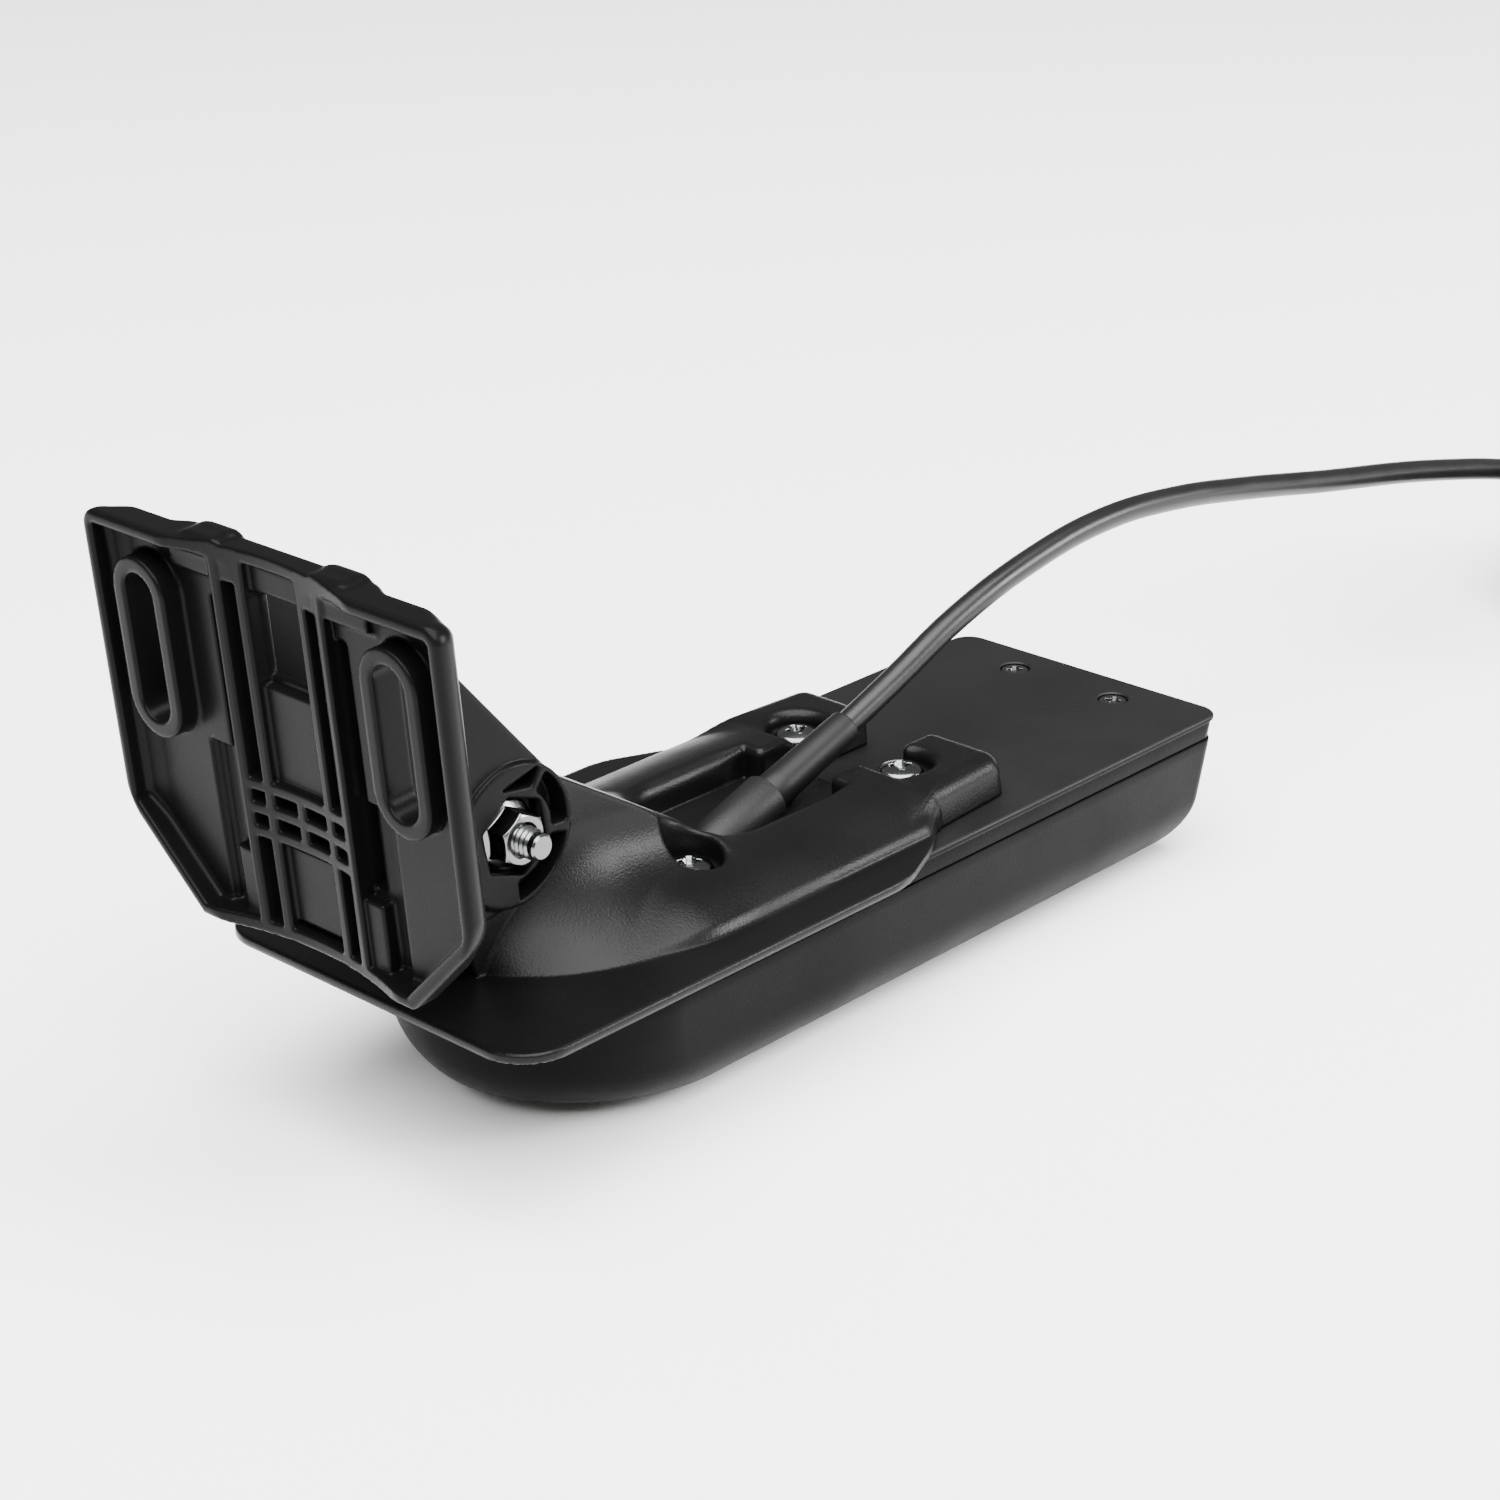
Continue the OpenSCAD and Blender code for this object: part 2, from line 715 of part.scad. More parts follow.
// Everything cut into the port ear: bolt bore, hex recess and the pockets between hub and rim
module ear_cuts() {
    floor_y = ear_out - ear_pocket_depth;
    rotate([90, 0, 0]) {
        cylinder(h = ear_out + through, r = bore_r);
        translate([0, 0, seat_y])
            rotate(36)
                cylinder(h = recess_depth + through, d = recess_af / cos(30), $fn = 6);
        for (span = ear_pocket_spans)
            rotate(span[0])
                rotate_extrude(angle = span[1] - span[0])
                    translate([ear_pocket_in, floor_y])
                        square([ear_pocket_out - ear_pocket_in, ear_pocket_depth + through]);
        translate([0, 0, floor_y])
            linear_extrude(ear_pocket_depth + through)
                polygon([polar(ear_pocket_out, 58), polar(ear_pocket_in, 98), polar(ear_pocket_in, 58)]);
    }
}

// Ribs, panels and windows in the middle of the tray, drawn in Y and Z
module upright_ribs() {
    for (y = rib_ys)
        for (s = [-1, 1])
            translate([s * y - rib_t / 2, -plate_bottom])
                square([rib_t, plate_top + plate_bottom]);
    translate([-rib_t / 2, rib_zs[0]])
        square([rib_t, last(rib_zs) - rib_zs[0]]);
}

module cross_ribs() {
    for (z = rib_zs)
        translate([-last(rib_ys), z - rib_t / 2])
            square([2 * last(rib_ys), rib_t]);
}

module centre_panels() {
    for (span = panel_zs)
        translate([-rib_ys[0], span[0]])
            square([2 * rib_ys[0], span[1] - span[0]]);
}

module root_blocks() {
    for (s = [-1, 1])
        translate([s * (block_half_gap + block_w / 2), block_top_z - plate_bottom / 2])
            square([block_w, plate_bottom], center = true);
}

// Thick middle of the plate, drawn in X and Y and sloped down to the wings
module middle_plan() {
    root_x = wing_back - web_t / 2;
    wide = middle_half_w + middle_slope;
    polygon([[root_x, -wide], [plate_back, -middle_half_w], [plate_back, middle_half_w], [root_x, wide]]);
}

// Floor of the tray, drawn in X and Y: deep in the middle, rising to the side rims
module tray_plan() {
    front = plate_front - through;
    floor_x = plate_front + tray_depth;
    rise_x = floor_x - tray_rise;
    rise_y = tray_flat_half_w + tray_rise_w;
    polygon([[front, -plate_half_w], [rise_x, -plate_half_w], [rise_x, -rise_y], [floor_x, -tray_flat_half_w],
        [floor_x, tray_flat_half_w], [rise_x, rise_y], [rise_x, plate_half_w], [front, plate_half_w]]);
}

// Plate hollowed to a tray, then filled in with slot bosses, ribs, panels and root blocks
module plate_tray() {
    height = plate_top + plate_bottom;
    middle_h = height - plate_wall;
    difference() {
        union() {
            wings();
            translate([0, 0, plate_wall / 2 - plate_bottom])
                linear_extrude(middle_h)
                    middle_plan();
        }
        intersection() {
            along_x(plate_front - through, plate_t)
                shield(plate_wall);
            translate([0, 0, -plate_bottom - through])
                linear_extrude(height + 2 * through)
                    tray_plan();
        }
        along_x(plate_front - through, plate_t - web_t + through)
            translate([-last(rib_ys), plate_wall - plate_bottom])
                square([2 * last(rib_ys), height - 2 * plate_wall]);
    }
    intersection() {
        along_x(plate_front, plate_t)
            shield(plate_front_r);
        union() {
            along_x(plate_front, tray_depth + web_t / 2)
                at_slots()
                    obround(slot_l + 2 * slot_wall, slot_w + 2 * slot_wall);
            along_x(plate_front, plate_t - web_t / 2) {
                upright_ribs();
                cross_ribs();
            }
            along_x(plate_front + hollow_depth + panel_sink, plate_t - web_t / 2 - hollow_depth - panel_sink)
                centre_panels();
            along_x(plate_front + block_sink, tray_depth + web_t / 2 - block_sink)
                root_blocks();
        }
    }
}

// Deep core in the root of the port ear, open to the front
module ear_core() {
    translate([plate_front - through, -block_half_gap - core_w, core_z[0]])
        cube([core_x - plate_front + through, core_w, core_z[1] - core_z[0]]);
}

// Transom bracket: tray plate with slotted bosses, hollow centre, gusset ears
module transom_bracket() {
    color(dark)
        in_bracket()
            difference() {
                union() {
                    plate_tray();
                    ear_wall();
                    mirror([0, 1, 0])
                        ear_wall();
                }
                translate([plate_front + hollow_depth - hollow_r, 0, -plate_bottom - through])
                    cylinder(h = plate_top + plate_bottom + 2 * through, r = hollow_r);
                along_x(plate_front - through, plate_t + 2 * through) {
                    at_slots()
                        obround(slot_l, slot_w);
                    translate([-window_half_w, window_z[0]])
                        square([2 * window_half_w, window_z[1] - window_z[0]]);
                }
                for (s = [0, 1])
                    mirror([0, s, 0]) {
                        ear_cuts();
                        ear_core();
                    }
            }
}

// Bolt through both ears and the neck, flanged hex head to starboard
module pivot_bolt() {
    color(steel)
        in_bracket()
            rotate([90, 0, 0]) {
                translate([0, 0, -seat_y - nut_h / 2])
                    cylinder(h = 2 * seat_y + 1.5 * nut_h + bolt_tip, d = bolt_d);
                translate([0, 0, -seat_y - hex_flange_t])
                    cylinder(h = hex_flange_t, d = hex_flange_d);
                translate([0, 0, -seat_y - nut_h])
                    rotate(30)
                        cylinder(h = nut_h - hex_flange_t / 2, d = hex_af / cos(30), $fn = 6);
            }
}

// Flanged hex nut in the port ear's recess
module pivot_nut() {
    color(steel)
        in_bracket()
            rotate([90, 0, 0])
                difference() {
                    union() {
                        translate([0, 0, seat_y])
                            cylinder(h = hex_flange_t, d = hex_flange_d);
                        translate([0, 0, seat_y + hex_flange_t / 2])
                            rotate(30)
                                cylinder(h = nut_h - hex_flange_t / 2, d = hex_af / cos(30), $fn = 6);
                    }
                    cylinder(h = seat_y + nut_h + through, d = bolt_d + 2 * fit_gap);
                }
}

// Soft boot on the gland, with a spigot in the gland's bore
module strain_relief() {
    color(dark) {
        along_gland(0)
            cylinder(h = boot_l, d1 = boot_d, d2 = boot_d - 1);
        along_gland(-boot_spigot)
            cylinder(h = boot_spigot + through, d = cable_d);
    }
}

module cable_lead() {
    color(dark)
        tube(lead_route, cable_d / 2, 12);
}

// Closed solid of the wound coil's outer shape
module cable_coil() {
    corner = coil_pitch / 2;
    width = coil_out_r - coil_in_r;
    color(dark)
        translate([coil_x, coil_y, coil_z])
            rotate_extrude()
                translate([coil_in_r, 0]) {
                    translate([corner, 0])
                        square([width - 2 * corner, coil_h]);
                    translate([0, corner])
                        square([width, coil_h - 2 * corner]);
                    for (x = [corner, width - corner])
                        for (z = [corner, coil_h - corner])
                            translate([x, z])
                                circle(corner);
                }
}

// Strap round one side of the coil
module coil_tie() {
    span = tie_w / coil_mid_r * 180 / PI;
    color(black)
        translate([coil_x, coil_y, 0])
            rotate(-90 - span / 2)
                rotate_extrude(angle = span)
                    difference() {
                        translate([coil_in_r - tie_t, 0])
                            square([coil_out_r - coil_in_r + 2 * tie_t, coil_h + 2 * tie_t]);
                        translate([coil_in_r, tie_t])
                            square([coil_out_r - coil_in_r, coil_h]);
                    }
}

module cable_tail() {
    color(dark)
        tube(tail_route, cable_d / 2, 12);
}

module along_plug(from) {
    translate([grip_x + from, 0, plug_z])
        rotate([0, 90, 0])
            children();
}

module connector_body() {
    r = grip_d / 2;
    color(black)
        along_plug(0)
            rotate_extrude()
                polygon([[0, 0], [cable_d / 2 + 1, 0], [r * 0.7, grip_l * 0.2], [r, grip_l * 0.4],
                    [r, grip_l], [0, grip_l]]);
}

// Locking ring with finger ribs
module connector_collar() {
    rib_count = 18;
    rib_depth = 0.7;
    color(black)
        along_plug(grip_l)
            difference() {
                cylinder(h = collar_l, d = collar_d);
                translate([0, 0, -through])
                    cylinder(h = collar_l + 2 * through, r = insert_r + fit_gap);
                for (k = [0 : rib_count - 1])
                    rotate(360 * (k + 0.5) / rib_count)
                        translate([collar_d / 2 - rib_depth, -0.6, 3])
                            cube([rib_depth + through, 1.2, collar_l - 6]);
            }
}

module connector_insert() {
    color(dark)
        along_plug(grip_l)
            cylinder(h = insert_h, r = insert_r);
}

module connector_pins() {
    pin_r = 0.6;
    pin_ring_r = insert_r * 0.62;
    color(brass)
        along_plug(grip_l + insert_h) {
            cylinder(h = pin_l, r = pin_r);
            for (k = [0 : pin_count - 1])
                rotate(360 * k / pin_count)
                    translate([pin_ring_r, 0, 0])
                        cylinder(h = pin_l, r = pin_r);
        }
}

housing_shell();
top_cover();
fill_plugs();
potting_block();
side_scan_elements();
down_scan_element();
chirp_element();
element_backing();
circuit_board();
temperature_sensor();
mount_saddle();
saddle_screws();
transom_bracket();
pivot_bolt();
pivot_nut();
strain_relief();
cable_lead();
cable_coil();
coil_tie();
cable_tail();
connector_body();
connector_collar();
connector_insert();
connector_pins();
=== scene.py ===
"""Transom-mount sonar transducer: mouldings, hardware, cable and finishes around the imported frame."""

import logging
import math
from collections.abc import Callable, Sequence
from dataclasses import dataclass
from enum import Enum
from functools import reduce

import bpy
import numpy as np
from mathutils import Matrix, Vector


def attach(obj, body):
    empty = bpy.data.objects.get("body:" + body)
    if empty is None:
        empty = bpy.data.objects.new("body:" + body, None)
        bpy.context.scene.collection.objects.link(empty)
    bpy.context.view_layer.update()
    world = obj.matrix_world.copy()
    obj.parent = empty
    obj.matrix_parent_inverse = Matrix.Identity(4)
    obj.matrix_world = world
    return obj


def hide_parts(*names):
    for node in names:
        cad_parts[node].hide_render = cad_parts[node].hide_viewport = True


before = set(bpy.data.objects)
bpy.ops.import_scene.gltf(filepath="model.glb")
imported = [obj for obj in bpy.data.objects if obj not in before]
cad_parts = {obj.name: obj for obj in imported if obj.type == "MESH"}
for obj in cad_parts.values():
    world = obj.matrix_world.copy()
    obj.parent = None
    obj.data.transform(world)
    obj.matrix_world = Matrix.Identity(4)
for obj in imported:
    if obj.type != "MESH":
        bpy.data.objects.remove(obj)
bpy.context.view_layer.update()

LOG = logging.getLogger("transducer")
MM = 0.001
Array = np.ndarray
Field = Callable[[Array], Array]
Pair = tuple[float, float]
Triple = tuple[float, float, float]
Object = bpy.types.Object
Tree = bpy.types.NodeTree
Node = bpy.types.Node
Socket = bpy.types.NodeSocket

# Places and sizes in millimetres that more than one piece shares
PIVOT: Triple = (-82.4, 0.0, 57.0)
BORE_R = 2.58
SCREW_XS: Pair = (-38.5, 15.5)
SCREW_Y = 12.5
SCREW_SEAT = 33.3
FILL_X = 78.3
FILL_Y = 12.0
FILL_D = 5.6
COIL_X = 270.0
COIL_R = 32.5
TIE_T = 1.0


class Body(Enum):
    """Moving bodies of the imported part."""

    TRANSDUCER = "transducer"
    BRACKET = "bracket"


# Colour and node helpers

def linear(colour: str) -> tuple[float, float, float, float]:
    """Turns an sRGB hex value into linear RGBA.

    Args:
        colour: Hex value such as "#1c1d1f".

    Returns:
        Red, green, blue and full alpha.
    """
    shares = [int(colour[i:i + 2], 16) / 255 for i in (1, 3, 5)]
    bent = [c / 12.92 if c <= 0.04045 else ((c + 0.055) / 1.055) ** 2.4 for c in shares]
    return (bent[0], bent[1], bent[2], 1.0)


def feed(tree: Tree, node: Node, inputs: dict) -> None:
    """Gives each input, by name or index, its value, its output, or a node whose first output feeds it."""
    for name, value in inputs.items():
        source = value.outputs[0] if isinstance(value, Node) else value
        if isinstance(source, Socket):
            tree.links.new(source, node.inputs[name])
        else:
            node.inputs[name].default_value = value


def add_node(tree: Tree, kind: str, inputs: dict | None = None, **settings: object) -> Node:
    """Adds a node with its settings, values and links.

    Args:
        tree: Node tree that gets the node.
        kind: The node's type name.
        inputs: Its inputs by name or index, each with a value, an output or a node.
        settings: Attributes of the node.

    Returns:
        The new node.
    """
    node = tree.nodes.new(kind)
    for name, value in settings.items():
        setattr(node, name, value)
    feed(tree, node, inputs or {})
    return node


# Finishes

GRAIN_DETAIL = 2.0
GRAIN_ROUGHNESS = 0.55
MOTTLE_DETAIL = 3.0
MOTTLE_RANGE: Pair = (0.3, 0.7)


@dataclass(frozen=True)
class Finish:
    """A material: common name, process, colour and how its surface scatters light."""

    name: str
    slot: str
    colour: str
    roughness: float
    metallic: float = 0.0
    grain_mm: float = 0.5
    grain_depth_mm: float = 0.02
    mottle_mm: float = 18.0
    mottle: float = 0.06
    specular: float = 0.5

    def material(self) -> bpy.types.Material:
        """Builds the node tree: a fine grain as bump, and a slow mottle in roughness.

        Returns:
            The material, made once for each finish.
        """
        made = bpy.data.materials.get(self.name)
        if made:
            return made
        made = bpy.data.materials.new(self.name)
        made.use_nodes = True
        tree = made.node_tree
        place = add_node(tree, "ShaderNodeTexCoord").outputs["Object"]
        grain = add_node(tree, "ShaderNodeTexNoise", {
            "Vector": place, "Scale": 1 / (self.grain_mm * MM), "Detail": GRAIN_DETAIL,
            "Roughness": GRAIN_ROUGHNESS})
        slow = add_node(tree, "ShaderNodeTexNoise", {
            "Vector": place, "Scale": 1 / (self.mottle_mm * MM), "Detail": MOTTLE_DETAIL})
        spread = add_node(tree, "ShaderNodeMapRange", {
            "Value": slow, "From Min": MOTTLE_RANGE[0], "From Max": MOTTLE_RANGE[1],
            "To Min": self.roughness - self.mottle, "To Max": self.roughness + self.mottle})
        bump = add_node(tree, "ShaderNodeBump", {
            "Height": grain, "Strength": 1.0, "Distance": self.grain_depth_mm * MM})
        feed(tree, tree.nodes["Principled BSDF"], {
            "Base Color": linear(self.colour), "Metallic": self.metallic, "Roughness": spread,
            "Specular IOR Level": self.specular, "Normal": bump})
        return made


# Moulded ABS with an eroded tool finish: nearly black, broad soft highlights, a fine pebble close up
HOUSING = Finish("abs_moulded_eroded", "housing_plastic", "#080808", 0.38,
                 grain_mm=0.4, grain_depth_mm=0.05, specular=0.03)
# The same plastic with a coarser tool finish on the lid: greyer, with a fine sparkle
LID = Finish("abs_moulded_textured", "housing_plastic", "#0b0b0c", 0.5,
             grain_mm=0.45, grain_depth_mm=0.07, specular=0.2)
# Glass-filled nylon, moulded: black with a slight sheen and a fine pebble
SADDLE = Finish("glass_filled_nylon_moulded", "saddle_nylon", "#080808", 0.34,
                grain_mm=0.4, grain_depth_mm=0.06, specular=0.11)
# Nylon, moulded smooth: black, with narrow soft highlights along its ribs and edges
BRACKET = Finish("nylon_moulded_satin", "bracket_nylon", "#080808", 0.32, grain_mm=0.45, specular=0.05)
# Stainless steel, rolled and turned: bright grey with a fine grain
STEEL = Finish("stainless_steel_turned", "stainless", "#696a6a", 0.2, metallic=1.0,
               grain_mm=0.25, grain_depth_mm=0.012, mottle_mm=6.0, mottle=0.05)
# Soft rubber, moulded: dark grey and dull
BOOT = Finish("rubber_moulded", "boot_rubber", "#0d0d0e", 0.44, specular=0.16)
# Polyurethane jacket, extruded: grey-black with a long soft sheen
JACKET = Finish("polyurethane_extruded", "cable_jacket", "#0d0d0e", 0.33, grain_mm=0.8, specular=0.26)
# Woven strap: dull black with a coarse weave
STRAP = Finish("nylon_strap_woven", "strap", "#161718", 0.7, grain_mm=0.7, grain_depth_mm=0.12)
# Polyester plug shells: black, satin
PLUG = Finish("pbt_moulded", "connector_plastic", "#111213", 0.42, specular=0.4)
# Smooth moulded caps: black, with small bright glints
CAP = Finish("abs_moulded_polished", "housing_plastic", "#0d0d0e", 0.2, grain_mm=0.6, grain_depth_mm=0.01)
# Turned brass: warm and bright
BRASS = Finish("brass_turned", "brass", "#c59b46", 0.22, metallic=1.0,
               grain_mm=0.3, grain_depth_mm=0.01, mottle_mm=5.0, mottle=0.05)
# Pieces sealed inside: cast resin, fired ceramic, cork sheet and printed board
RESIN = Finish("epoxy_cast", "potting_resin", "#34352f", 0.3, grain_mm=3.0, grain_depth_mm=0.05)
CERAMIC = Finish("piezo_ceramic_fired", "ceramic", "#d9d2bf", 0.35, grain_mm=0.4)
PAD = Finish("cork_rubber_sheet", "backing_pad", "#6b5238", 0.85, grain_mm=1.2, grain_depth_mm=0.2)
BOARD = Finish("solder_mask_printed", "board", "#1d5a2c", 0.35, grain_mm=1.0)


# Distance fields, in millimetres: negative inside

def joined(a: Array, b: Array, r: float) -> Array:
    """Union of two solids with a fillet of radius r where they meet."""
    return np.maximum(r, np.minimum(a, b)) - np.hypot(np.maximum(r - a, 0), np.maximum(r - b, 0))


def common(a: Array, b: Array, r: float) -> Array:
    """Intersection of two solids with an edge rounded to radius r."""
    return np.minimum(-r, np.maximum(a, b)) + np.hypot(np.maximum(a + r, 0), np.maximum(b + r, 0))


def cut(a: Array, b: Array, r: float) -> Array:
    """Solid a less solid b, with the cut's edge rounded to radius r."""
    return common(a, -b, r)


def within(*fields: Array) -> Array:
    """Intersection of solids with plain edges."""
    return reduce(np.maximum, fields)


def either(*fields: Array) -> Array:
    """Union of solids with plain joints."""
    return reduce(np.minimum, fields)


def between(value: Array, low: float, high: float) -> Array:
    """Slab from low to high along one coordinate."""
    return np.maximum(low - value, value - high)


def past_line(x: Array, y: Array, start: Pair, end: Pair) -> Array:
    """Half plane to the right of the line from start to end."""
    run, drop = end[0] - start[0], start[1] - end[1]
    return ((x - start[0]) * drop + (y - start[1]) * run) / math.hypot(run, drop)


def six_sided(x: Array, y: Array, flats: float, turn_deg: float) -> Array:
    """Hexagonal prism of a width across flats, turned by an angle."""
    angles = [math.radians(turn_deg + 60 * k) for k in range(3)]
    return np.max([np.abs(x * math.cos(f) + y * math.sin(f)) for f in angles], axis=0) - flats / 2


def eased(value: Array, start: float, end: float) -> Array:
    """Smooth step from 0 at start to 1 at end."""
    share = np.clip((value - start) / (end - start), 0, 1)
    return share * share * (3 - 2 * share)


def true_distance(shape: Field, p: Array, nudge: float = 0.05, least: float = 0.04) -> Array:
    """Divides a field by its slope, so that it reads about as a distance near the surface."""
    here = shape(p)
    slope = np.zeros_like(here)
    for axis in range(3):
        moved = p.copy()
        moved[:, axis] += nudge
        slope += ((shape(moved) - here) / nudge) ** 2
    return here / np.sqrt(np.maximum(slope, least))


@dataclass
class Net:
    """Meshes a distance field with a surface net, fine only near the surface."""

    distance: Field
    low: Triple
    high: Triple
    step: float
    block: int = 4
    margin: float = 1.25
    probe: float = 0.12

    def _field_at(self, points: Array) -> Array:
        """Field at many points, taken in chunks."""
        chunk = 250_000
        return np.concatenate([self.distance(points[i:i + chunk]) for i in range(0, len(points), chunk)])

    def _samples(self) -> Array:
        """Field on the grid: true values near the surface, plain signs elsewhere."""
        low = np.array(self.low)
        coarse = self.step * self.block
        count = np.ceil((np.array(self.high) - low) / coarse).astype(int)
        cells = np.stack(np.meshgrid(*[np.arange(n) for n in count], indexing="ij"), -1).reshape(-1, 3)
        middle = self._field_at((low + (cells + 0.5) * coarse).astype(np.float32))
        grid = np.where(middle < 0, -coarse, coarse).astype(np.float32).reshape(count)
        for axis in range(3):
            grid = np.repeat(grid, self.block, axis=axis)
        grid = np.pad(grid, ((0, 1),) * 3, mode="edge")
        near = cells[np.abs(middle) < self.margin * coarse]
        local = np.stack(np.meshgrid(*[np.arange(self.block + 1)] * 3, indexing="ij"), -1).reshape(-1, 3)
        spots = (near[:, None] * self.block + local[None]).reshape(-1, 3)
        grid[tuple(spots.T)] = self._field_at((low + spots * self.step).astype(np.float32))
        return grid

    def _settle(self, points: Array) -> Array:
        """Moves the net's points onto the surface along the field's slope."""
        corners = np.array([(1, -1, -1), (-1, -1, 1), (-1, 1, -1), (1, 1, 1)], np.float32)
        reach = self.probe * self.step
        for _ in range(2):
            slope = sum(self._field_at(points + reach * c)[:, None] * c for c in corners)
            slope /= np.maximum(np.linalg.norm(slope, axis=1, keepdims=True), 1e-6)
            off = np.clip(self._field_at(points), -self.step / 2, self.step / 2)
            points = points - off[:, None] * slope
        return points

    def build(self) -> tuple[Array, Array]:
        """Makes the net.

        Returns:
            Points in millimetres, and four point numbers for each face.
        """
        grid = self._samples()
        inside = grid < 0
        size = np.array(grid.shape) - 1
        filled = np.zeros(size, np.uint8)
        corners = [(i, j, k) for i in (0, 1) for j in (0, 1) for k in (0, 1)]
        for i, j, k in corners:
            filled += inside[i:i + size[0], j:j + size[1], k:k + size[2]]
        cells = np.argwhere((filled > 0) & (filled < 8))
        number = np.full(size, -1, np.int32)
        number[tuple(cells.T)] = np.arange(len(cells))
        total = np.zeros((len(cells), 3))
        hits = np.zeros(len(cells))
        for axis in range(3):
            along = np.eye(3, dtype=int)[axis]
            for corner in (c for c in corners if c[axis] == 0):
                start = cells + corner
                a, b = grid[tuple(start.T)], grid[tuple((start + along).T)]
                crossed = (a < 0) != (b < 0)
                share = np.where(crossed, a / np.where(crossed, a - b, 1), 0)
                total += crossed[:, None] * (np.array(corner) + share[:, None] * along)
                hits += crossed
        points = np.array(self.low) + (cells + total / hits[:, None]) * self.step
        return self._settle(points.astype(np.float32)), self._faces(inside, number)

    @staticmethod
    def _faces(inside: Array, number: Array) -> Array:
        """One face across each grid edge that leaves the solid, turned outwards."""
        faces = []
        for axis in range(3):
            u, v = (axis + 1) % 3, (axis + 2) % 3
            first = np.take(inside, range(inside.shape[axis] - 1), axis)
            second = np.take(inside, range(1, inside.shape[axis]), axis)
            edges = np.argwhere(first != second)
            ring = []
            for du, dv in ((1, 1), (0, 1), (0, 0), (1, 0)):
                cell = edges.copy()
                cell[:, u] -= du
                cell[:, v] -= dv
                ring.append(number[tuple(cell.T)])
            quad = np.stack(ring, 1)
            back = ~first[tuple(edges.T)]
            quad[back] = quad[back][:, ::-1]
            faces.append(quad)
        return np.concatenate(faces)


# Mesh helpers

def placed(name: str, data: bpy.types.ID) -> Object:
    """Puts data into the scene as an object."""
    made = bpy.data.objects.new(name, data)
    bpy.context.scene.collection.objects.link(made)
    return made


def piece(name: str, points: Array, faces: Sequence[Sequence[int]] | Array, finish: Finish) -> Object:
    """Makes a smooth-shaded piece from points in millimetres, at the origin, with its finish."""
    mesh = bpy.data.meshes.new(name)
    listed = faces.tolist() if isinstance(faces, Array) else faces
    mesh.from_pydata((np.asarray(points) * MM).tolist(), [], listed)
    mesh.polygons.foreach_set("use_smooth", np.ones(len(mesh.polygons), bool))
    mesh.materials.append(finish.material())
    mesh.update()
    return placed(name, mesh)


def sharpened(made: Object, degrees: float) -> Object:
    """Marks the edges of a piece that turn by more than an angle as sharp."""
    made.data.set_sharp_from_angle(angle=math.radians(degrees))
    return made


def freeze(made: Object) -> None:
    """Turns a piece's modifiers into a plain mesh."""
    view = bpy.context.evaluated_depsgraph_get()
    mesh = bpy.data.meshes.new_from_object(made.evaluated_get(view))
    made.modifiers.clear()
    made.data = mesh


def moulded(name: str, net: Net, finish: Finish, limit: int = 190_000) -> Object:
    """Meshes a field as a piece and thins it to a number of triangles."""
    points, faces = net.build()
    made = piece(name, points, faces, finish)
    if 2 * len(faces) > limit:
        thin = made.modifiers.new("thin", "DECIMATE")
        thin.ratio = limit / (2 * len(faces))
        freeze(made)
    return made


def stacked(rings: Sequence[Array], loop: bool = False) -> tuple[Array, list[list[int]]]:
    """Skins rings of equal counts that run anticlockwise seen from the far end.

    Args:
        rings: Points of each ring.
        loop: Joins the last ring to the first, where otherwise both ends are closed.

    Returns:
        Points, and point numbers for each face.
    """
    n, m = len(rings[0]), len(rings)
    faces = [[k * n + i, k * n + (i + 1) % n, (k + 1) % m * n + (i + 1) % n, (k + 1) % m * n + i]
             for k in range(m if loop else m - 1) for i in range(n)]
    if not loop:
        faces += [list(range(n - 1, -1, -1)), [(m - 1) * n + i for i in range(n)]]
    return np.concatenate(rings), faces


def turned(profile: Sequence[Pair], sides: int = 64, loop: bool = False) -> tuple[Array, list[list[int]]]:
    """Turns a profile of radius and height about Z."""
    angles = np.arange(sides) * 2 * math.pi / sides
    rings = [np.stack([r * np.cos(angles), r * np.sin(angles), np.full(sides, h)], 1) for r, h in profile]
    return stacked(rings, loop)


def shifted(made: Object, place: Field) -> Object:
    """Moves a piece's points, in millimetres, to where the piece rests."""
    points = np.empty(len(made.data.vertices) * 3, np.float32)
    made.data.vertices.foreach_get("co", points)
    placed = place(points.reshape(-1, 3) / MM) * MM
    made.data.vertices.foreach_set("co", placed.astype(np.float32).ravel())
    made.data.update()
    return made


# Geometry node trees

def node_group(name: str, **kinds: str) -> tuple[Tree, dict[str, Socket]]:
    """Starts a tree with a geometry input, named inputs, an input for the finish, and a geometry output.

    Args:
        name: The tree's name.
        kinds: Kind of each named input.

    Returns:
        The tree, and the sockets of its inputs by name.
    """
    tree = bpy.data.node_groups.new(name, "GeometryNodeTree")
    for label, kind in {"Geometry": "Geometry", **kinds, "Finish": "Material"}.items():
        tree.interface.new_socket(label, in_out="INPUT", socket_type="NodeSocket" + kind)
    tree.interface.new_socket("Geometry", in_out="OUTPUT", socket_type="NodeSocketGeometry")
    start = tree.nodes.new("NodeGroupInput")
    return tree, {socket.name: socket for socket in start.outputs if socket.name}


